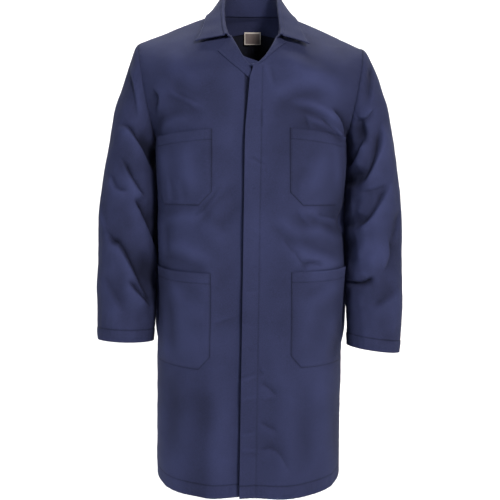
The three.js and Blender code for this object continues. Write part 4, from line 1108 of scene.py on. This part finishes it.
sleeveFolds = dict(  # as frontPinches; x and z of the left sleeve
    right=[
        ([(0.2825, -0.251), (0.2566, -0.260), (0.235, -0.290), (0.222, -0.315), (0.210, -0.345)], 0.0060, 0.0075, 1),
        ([(0.278, -0.315), (0.252, -0.358), (0.235, -0.388), (0.222, -0.406)], 0.0055, 0.0065, 1),
        ([(0.2995, -0.350), (0.2825, -0.384), (0.252, -0.393)], 0.0060, 0.0045, 1),
        ([(0.248, -0.402), (0.231, -0.436), (0.214, -0.483), (0.203, -0.526)], 0.0065, 0.0085, 1),
        ([(0.3125, -0.461), (0.295, -0.495), (0.278, -0.504), (0.261, -0.530), (0.231, -0.590), (0.206, -0.640)],
         0.0060, 0.0085, 1),
        ([(0.262, -0.575), (0.236, -0.606), (0.210, -0.640)], 0.0080, 0.0080, 1),
        ([(0.318, -0.560), (0.290, -0.610), (0.262, -0.650)], 0.0130, 0.0030, 1),
        ([(0.262, -0.120), (0.245, -0.180), (0.232, -0.250)], 0.0070, 0.0035, -1),
        ([(0.322, -0.400), (0.316, -0.440), (0.300, -0.470)], 0.0080, 0.0026, 1),
    ],
    left=[
        ([(0.258, -0.214), (0.240, -0.236), (0.222, -0.240)], 0.0050, 0.0040, -1),
        ([(0.236, -0.280), (0.224, -0.312), (0.212, -0.338)], 0.0055, 0.0070, 1),
        ([(0.2743, -0.235), (0.2715, -0.285), (0.261, -0.322), (0.245, -0.357), (0.227, -0.381)], 0.0065, 0.0085, 1),
        ([(0.298, -0.366), (0.2715, -0.411), (0.245, -0.451), (0.216, -0.473)], 0.0055, 0.0070, 1),
        ([(0.285, -0.373), (0.262, -0.384), (0.225, -0.390)], 0.0050, 0.0026, -1),
        ([(0.286, -0.480), (0.292, -0.520), (0.276, -0.560)], 0.0080, 0.0040, -1),
        ([(0.205, -0.578), (0.232, -0.580), (0.258, -0.566)], 0.0055, 0.0075, 1),
        ([(0.316, -0.590), (0.290, -0.615), (0.250, -0.638)], 0.0120, 0.0034, 1),
        ([(0.262, -0.110), (0.256, -0.160), (0.244, -0.215)], 0.0080, 0.0034, 1),
        ([(0.322, -0.420), (0.312, -0.470), (0.300, -0.500)], 0.0080, 0.0028, 1),
    ],
    behind=[
        ([(0.300, -0.200), (0.262, -0.250), (0.220, -0.280)], 0.0075, 0.0070, 1),
        ([(0.318, -0.330), (0.270, -0.390), (0.222, -0.400)], 0.0070, 0.0075, 1),
        ([(0.325, -0.430), (0.265, -0.455), (0.215, -0.470)], 0.0065, 0.0085, -1),
        ([(0.315, -0.500), (0.260, -0.512), (0.220, -0.500)], 0.0065, 0.0080, 1),
        ([(0.325, -0.560), (0.270, -0.600), (0.222, -0.610)], 0.0080, 0.0060, 1),
        ([(0.255, -0.300), (0.275, -0.350), (0.262, -0.420)], 0.0090, 0.0040, -1),
    ],
)
sleeveHollows = dict(
    right=[((0.216, -0.300), (0.010, 0.030), -20, 0.0060), ((0.214, -0.560), (0.018, 0.050), -30, 0.0070),
           ((0.262, -0.345), (0.012, 0.022), -35, 0.0030)],
    left=[((0.228, -0.262), (0.012, 0.024), 10, 0.0100), ((0.219, -0.362), (0.014, 0.018), -30, 0.0090),
          ((0.218, -0.452), (0.026, 0.014), 20, 0.0060), ((0.212, -0.510), (0.012, 0.036), 0, 0.0060),
          ((0.230, -0.577), (0.024, 0.009), 12, 0.0060), ((0.247, -0.520), (0.028, 0.032), 0, -0.0060)],
)
armholeNormal = unit(np.array([0.2, 0.0, -0.0336]))


def sleeveGrid(side):
    # rings of two half ellipses along the sleeve, turn 0 on the outer side and half a turn next to the body
    rings = np.array(sleeve["rings"])
    rings[:, 0] += sleeve["outerShift"][side]
    rings[-3:, [1, 3]] += np.array(sleeve["cuffShift"][side])
    knot = np.arange(len(rings))
    station = np.unique(np.concatenate([np.linspace(0, 1, 22), np.linspace(1, 4, 52), np.linspace(4, 10.6, 130),
                                        np.linspace(10.6, 12, 36)]))
    ring = np.stack([curveThrough(list(zip(knot, rings[:, k])), station) for k in range(7)], -1)
    turn = np.linspace(0, 2 * np.pi, 151)[None, :-1]
    centre = np.stack([(ring[:, 0] + ring[:, 2]) / 2, ring[:, 6], (ring[:, 1] + ring[:, 3]) / 2], -1)
    across = np.stack([ring[:, 0] - centre[:, 0], 0 * station, ring[:, 1] - centre[:, 2]], -1)
    depth = np.where(np.sin(turn) > 0, ring[:, 5:6], ring[:, 4:5])
    grid = centre[:, None] + across[:, None] * np.cos(turn)[..., None]
    grid[..., 1] += depth * np.sin(turn)
    grid += armholeNormal * (0.0003 * (station < 0.001))[:, None, None]
    normals = gridNormals(grid, closed=True)
    normals = outward(grid, normals, centre[:, None])
    x, z = grid[..., 0], grid[..., 2]
    front = smooth((0.25 - np.sin(turn)) / 0.5) + 0 * x
    seed = 51 if side == "left" else 57
    y = grid[..., 1]
    relief = ripples(x + y, z, 0.09, 0.0014, seed, 1.3) + ripples(x - y, z, 0.035, 0.0005, seed + 1, 1.2)
    relief = relief + crumple(x + 0.6 * y, z, 0.05, 0.0009, seed + 2)
    for line, width, deep, crestSide in sleeveFolds[side]:
        relief = relief + front * pinch(x, z, line, width, foldSize["sleeve"] * deep, crestSide)
    for middle, size, tilt, deep in sleeveHollows[side]:
        relief = relief + front * hollowAt(x, z, middle, size, tilt, deep)
    for k, (line, width, deep, crestSide) in enumerate(sleeveFolds["behind"]):
        shift = 0.0 if side == "left" else 0.018 * np.sin(1.7 * k)
        relief = relief + (1 - front) * pinch(x, z + shift, line, width, foldSize["sleeve"] * deep, crestSide)
    away = np.linalg.norm(grid - grid[:1], axis=-1)
    head = 0.0022 * (away / 0.009) * np.exp(1 - away / 0.009)  # roll and gathers beside the armhole seam
    gathers = 0.0005 * np.sin(turn * 46 + 2 * np.sin(turn * 7)) * (away / 0.008) * np.exp(1 - away / 0.008)
    relief = relief * smooth(away / 0.03) * (0.35 + 0.65 * smooth((12 - station)[:, None] / 1.2))
    inner = smooth((-np.cos(turn) - 0.55) / 0.4) + 0 * x
    relief = np.where(relief > 0, relief * (1 - 0.8 * inner), relief)
    relief = relief * (1 - 0.6 * smooth((np.cos(turn) - 0.7) / 0.25))
    end = np.linalg.norm(grid - grid[-1:], axis=-1)
    hem = groove(end - sleeve["cuff"], 0.0007, 0.0015) + 0.0004 * smooth((sleeve["cuff"] - end) / 0.002)
    hem = hem + 0.0003 * np.sin(turn * 31 + 3 * np.sin(turn * 5)) * smooth((sleeve["cuff"] - end) / 0.002)
    total = relief + (head + gathers) * (1 - inner) + hem
    grid = grid + normals * total[..., None]
    # painted shade: darker in fold hollows, at the cuff's stitched line and beside the armhole seam, lighter on crests
    tone = relief / 0.008 + groove(end - sleeve["cuff"], 0.8, 0.0016) - 0.9 * np.exp(-away / 0.002)
    return grid, normals, np.clip(tone, -1.2, 1), centre, end


sleeveStitches = {}
for side in ("left", "right"):
    mirror = mirrorOf(side)
    grid, normals, tone, centre, end = sleeveGrid(side)
    key = side + "Sleeve"
    flip = np.sum(gridNormals(grid * mirror, True) * (grid - centre[:, None]) * mirror) < 0
    piece = gridMesh(key, grid * mirror, closed=True, flip=flip, paintedShade=tone)
    piece.data.materials.append(shellTwill)
    pieces[key] = thicken(piece, cloth["thickness"])
    around = np.append(np.arange(grid.shape[1]), 0)
    hemRow = np.argmin(np.abs(end - sleeve["cuff"]), axis=0)[around]
    sleeveStitches[side] = [(grid[hemRow, around] * mirror, normals[hemRow, around] * mirror)]
print("sleeves ready")

# the woven label inside the neck
low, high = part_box("neck_label")
mid = (np.array(low) + np.array(high)) / 2
lu, lv = np.meshgrid(np.linspace(-0.5, 0.5, 30), np.linspace(-0.5, 0.5, 22))
lean = (high[1] - low[1] - 0.0008) / (high[2] - low[2])
bow = 0.0006 * np.cos(lu * 5) - 0.0004 * np.sin(lv * 4)
labelGrid = np.stack([mid[0] + lu * labelSize["wide"], mid[1] - lean * lv * labelSize["tall"] + bow,
                      mid[2] + lv * labelSize["tall"]], -1)
labelPiece = gridMesh("neckLabel", labelGrid)
labelPiece.data.materials.append(labelCloth)
pieces["neckLabel"] = thicken(labelPiece, labelSize["thick"], 0.0, 0.00015)

# thread on the band, the hems and the back seam
def alongRows(panel, wantX, rows):  # the point of each row at a given distance from the middle
    path, out = [], []
    for points, normals in zip(panel[0][rows], panel[1][rows]):
        x = wantX(points[0, 2])
        path.append([x] + [np.interp(x, points[:, 0], points[:, k]) for k in (1, 2)])
        out.append([np.interp(x, points[:, 0], normals[:, k]) for k in range(3)])
    return np.array(path), unit(np.array(out))


def alongHem(panel, first):  # the point of each column on the hem's stitched line
    grid = panel[0]
    want = hemLine + body["hemRise"] * np.abs(grid[0, :, 0] / 0.2) ** 2
    path, out = [np.array([[np.interp(want[c], grid[:, c, 2], part[:, c, k]) for k in range(3)]
                           for c in range(first, grid.shape[1])]) for part in panel]
    return path, unit(out)


belowBreak = np.flatnonzero(panelRows < breakZ - 0.004)
bodyStitches.append(alongRows(panels["leftFront"], lambda z: foldX(z) + 0.0012, belowBreak))
for side in ("left", "right"):
    for part in ("Front", "Back"):
        panel = panels[side + part]
        first = int(np.argmax(panel[0][5, :, 0] > foldX(hemZ) + 0.003)) if side + part == "leftFront" else 0
        bodyStitches.append([a * mirrorOf(side) for a in alongHem(panel, first)])
    if side == "left":
        bodyStitches.append(alongRows(panel, lambda z: 0.005, np.arange(2, len(panelRows) - 2)))
stitchLine(bodyStitches, "bodyThread", navyThread, "root")
for side in ("left", "right"):
    stitchLine(sleeveStitches[side], side + "CuffThread", navyThread, side + "_sleeve")
print("thread ready")

# which body each piece rides on
sheets = dict(  # nodes that each sheet stands for, its flat width and height, and its slot
    leftFront=("left_front_panel front_band", 0.30, 1.03, "shell_twill"),
    rightFront=("right_front_panel", 0.33, 1.03, "shell_twill"),
    leftBack=("left_back_panel", 0.29, 1.04, "shell_twill"),
    rightBack=("right_back_panel", 0.29, 1.04, "shell_twill"),
    leftFacing=("left_front_facing", 0.08, 1.03, "inner_twill"),
    rightFacing=("right_front_facing", 0.09, 1.03, "inner_twill"),
    backNeckFacing=("back_neck_facing", 0.25, 0.06, "inner_twill"),
    concealedStrip=("fly_strip", 0.028, 0.85, "inner_twill"),
    collar=("upper_collar under_collar collar_interlining", 0.50, 0.10, "shell_twill"),
    leftLapel=("left_lapel", 0.03, 0.10, "shell_twill"),
    rightLapel=("right_lapel", 0.05, 0.11, "shell_twill"),
    neckLabel=("neck_label", 0.038, 0.027, "label_cloth"),
    leftChestPocket=("left_chest_pocket", 0.13, 0.15, "shell_twill"),
    rightChestPocket=("right_chest_pocket", 0.13, 0.15, "shell_twill"),
    leftLowerPocket=("left_lower_pocket", 0.165, 0.195, "shell_twill"),
    rightLowerPocket=("right_lower_pocket", 0.165, 0.195, "shell_twill"),
    leftSleeve=("left_sleeve", 0.43, 0.60, "shell_twill"),
    rightSleeve=("right_sleeve", 0.43, 0.60, "shell_twill"),
)
for key, piece in pieces.items():
    nodes, wide, tall, slot = sheets[key]
    if key == "leftFront":  # spans the stitched line where the band bends; baked in place, not attached to a body
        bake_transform(piece)
    elif key in ("leftSleeve", "rightSleeve"):  # span the armhole and the elbow, where the sleeve bends; baked in place, not attached to a body
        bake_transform(piece)
    else:
        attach(piece, "front_band" if key == "concealedStrip" else "root")
    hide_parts(*nodes.split())

# floor and wall in one sweep, then lights and camera
studio = dict(floorZ=-1.16, frontY=-3.5, wallY=1.9, wallTop=2.6, half=4.5, bend=0.9)


def studioSheet():  # floor that curves up into a wall by a quarter turn
    t = np.linspace(0, np.pi / 2, 24)
    floorZ, wallY, bend = studio["floorZ"], studio["wallY"], studio["bend"]
    y = np.concatenate([[studio["frontY"]], wallY - bend + bend * np.sin(t), [wallY]])
    z = np.concatenate([[floorZ], floorZ + bend - bend * np.cos(t), [studio["wallTop"]]])
    x = np.array([-studio["half"], studio["half"]])
    grid = np.stack([np.repeat(x[None], len(y), 0), np.repeat(y[:, None], 2, 1), np.repeat(z[:, None], 2, 1)], -1)
    piece = gridMesh("studioFloor", grid, hung=False)
    material, tree = newMaterial("paintedStudioFloor")
    paint = addNode(tree, "ShaderNodeBsdfPrincipled", {"Base Color": linearColor("#fafafa"), "Roughness": 0.9})
    addNode(tree, "ShaderNodeOutputMaterial", {"Surface": (paint, 0)})
    piece.data.materials.append(material)
    piece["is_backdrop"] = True
    return piece


studioSheet()


def softLight(name, place, target, size, power, tint):  # rectangular light turned towards a point
    light = bpy.data.lights.new(name, "AREA")
    light.shape = "RECTANGLE"
    light.size, light.size_y = size
    light.energy = power
    light.color = linearColor(tint)[:3]
    lamp = bpy.data.objects.new(name, light)
    lamp.location = place
    lamp.rotation_euler = (Vector(target) - Vector(place)).to_track_quat("-Z", "Y").to_euler()
    bpy.context.collection.objects.link(lamp)


softLight("keyRight", (1.15, -2.45, 0.75), (0, 0, -0.5), (0.6, 0.6), 75, "#fff7f4")
softLight("fillLeft", (-1.5, -2.4, 0.1), (0, 0, -0.5), (0.8, 0.8), 23, "#f0f4ff")
softLight("wallWash", (0, 0.9, 2.2), (0, 1.9, -0.3), (3.5, 0.6), 120, "#ffffff")
world = bpy.data.worlds.new("paleRoom")
world.use_nodes = True
seen = addNode(world.node_tree, "ShaderNodeLightPath")
strength = addNode(world.node_tree, "ShaderNodeMapRange", {"Value": (seen, 0), "To Min": 0.10, "To Max": 0.95})
air = addNode(world.node_tree, "ShaderNodeBackground", {"Color": (1.0, 1.0, 1.0, 1.0), "Strength": (strength, 0)})
world.node_tree.links.new(air.outputs[0], world.node_tree.nodes["World Output"].inputs[0])
bpy.context.scene.world = world
bpy.context.scene.view_settings.view_transform = "Standard"

camera = bpy.data.cameras.new("camera")
camera.lens = 49.05
camera.sensor_width = 36
camera.clip_start = 0.05
camera.shift_y = -0.03
view = bpy.data.objects.new("camera", camera)
view.location = (-0.002, -1.5, -0.482)
view.rotation_euler = (np.pi / 2, 0, 0)
bpy.context.collection.objects.link(view)
bpy.context.scene.camera = view

low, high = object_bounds()
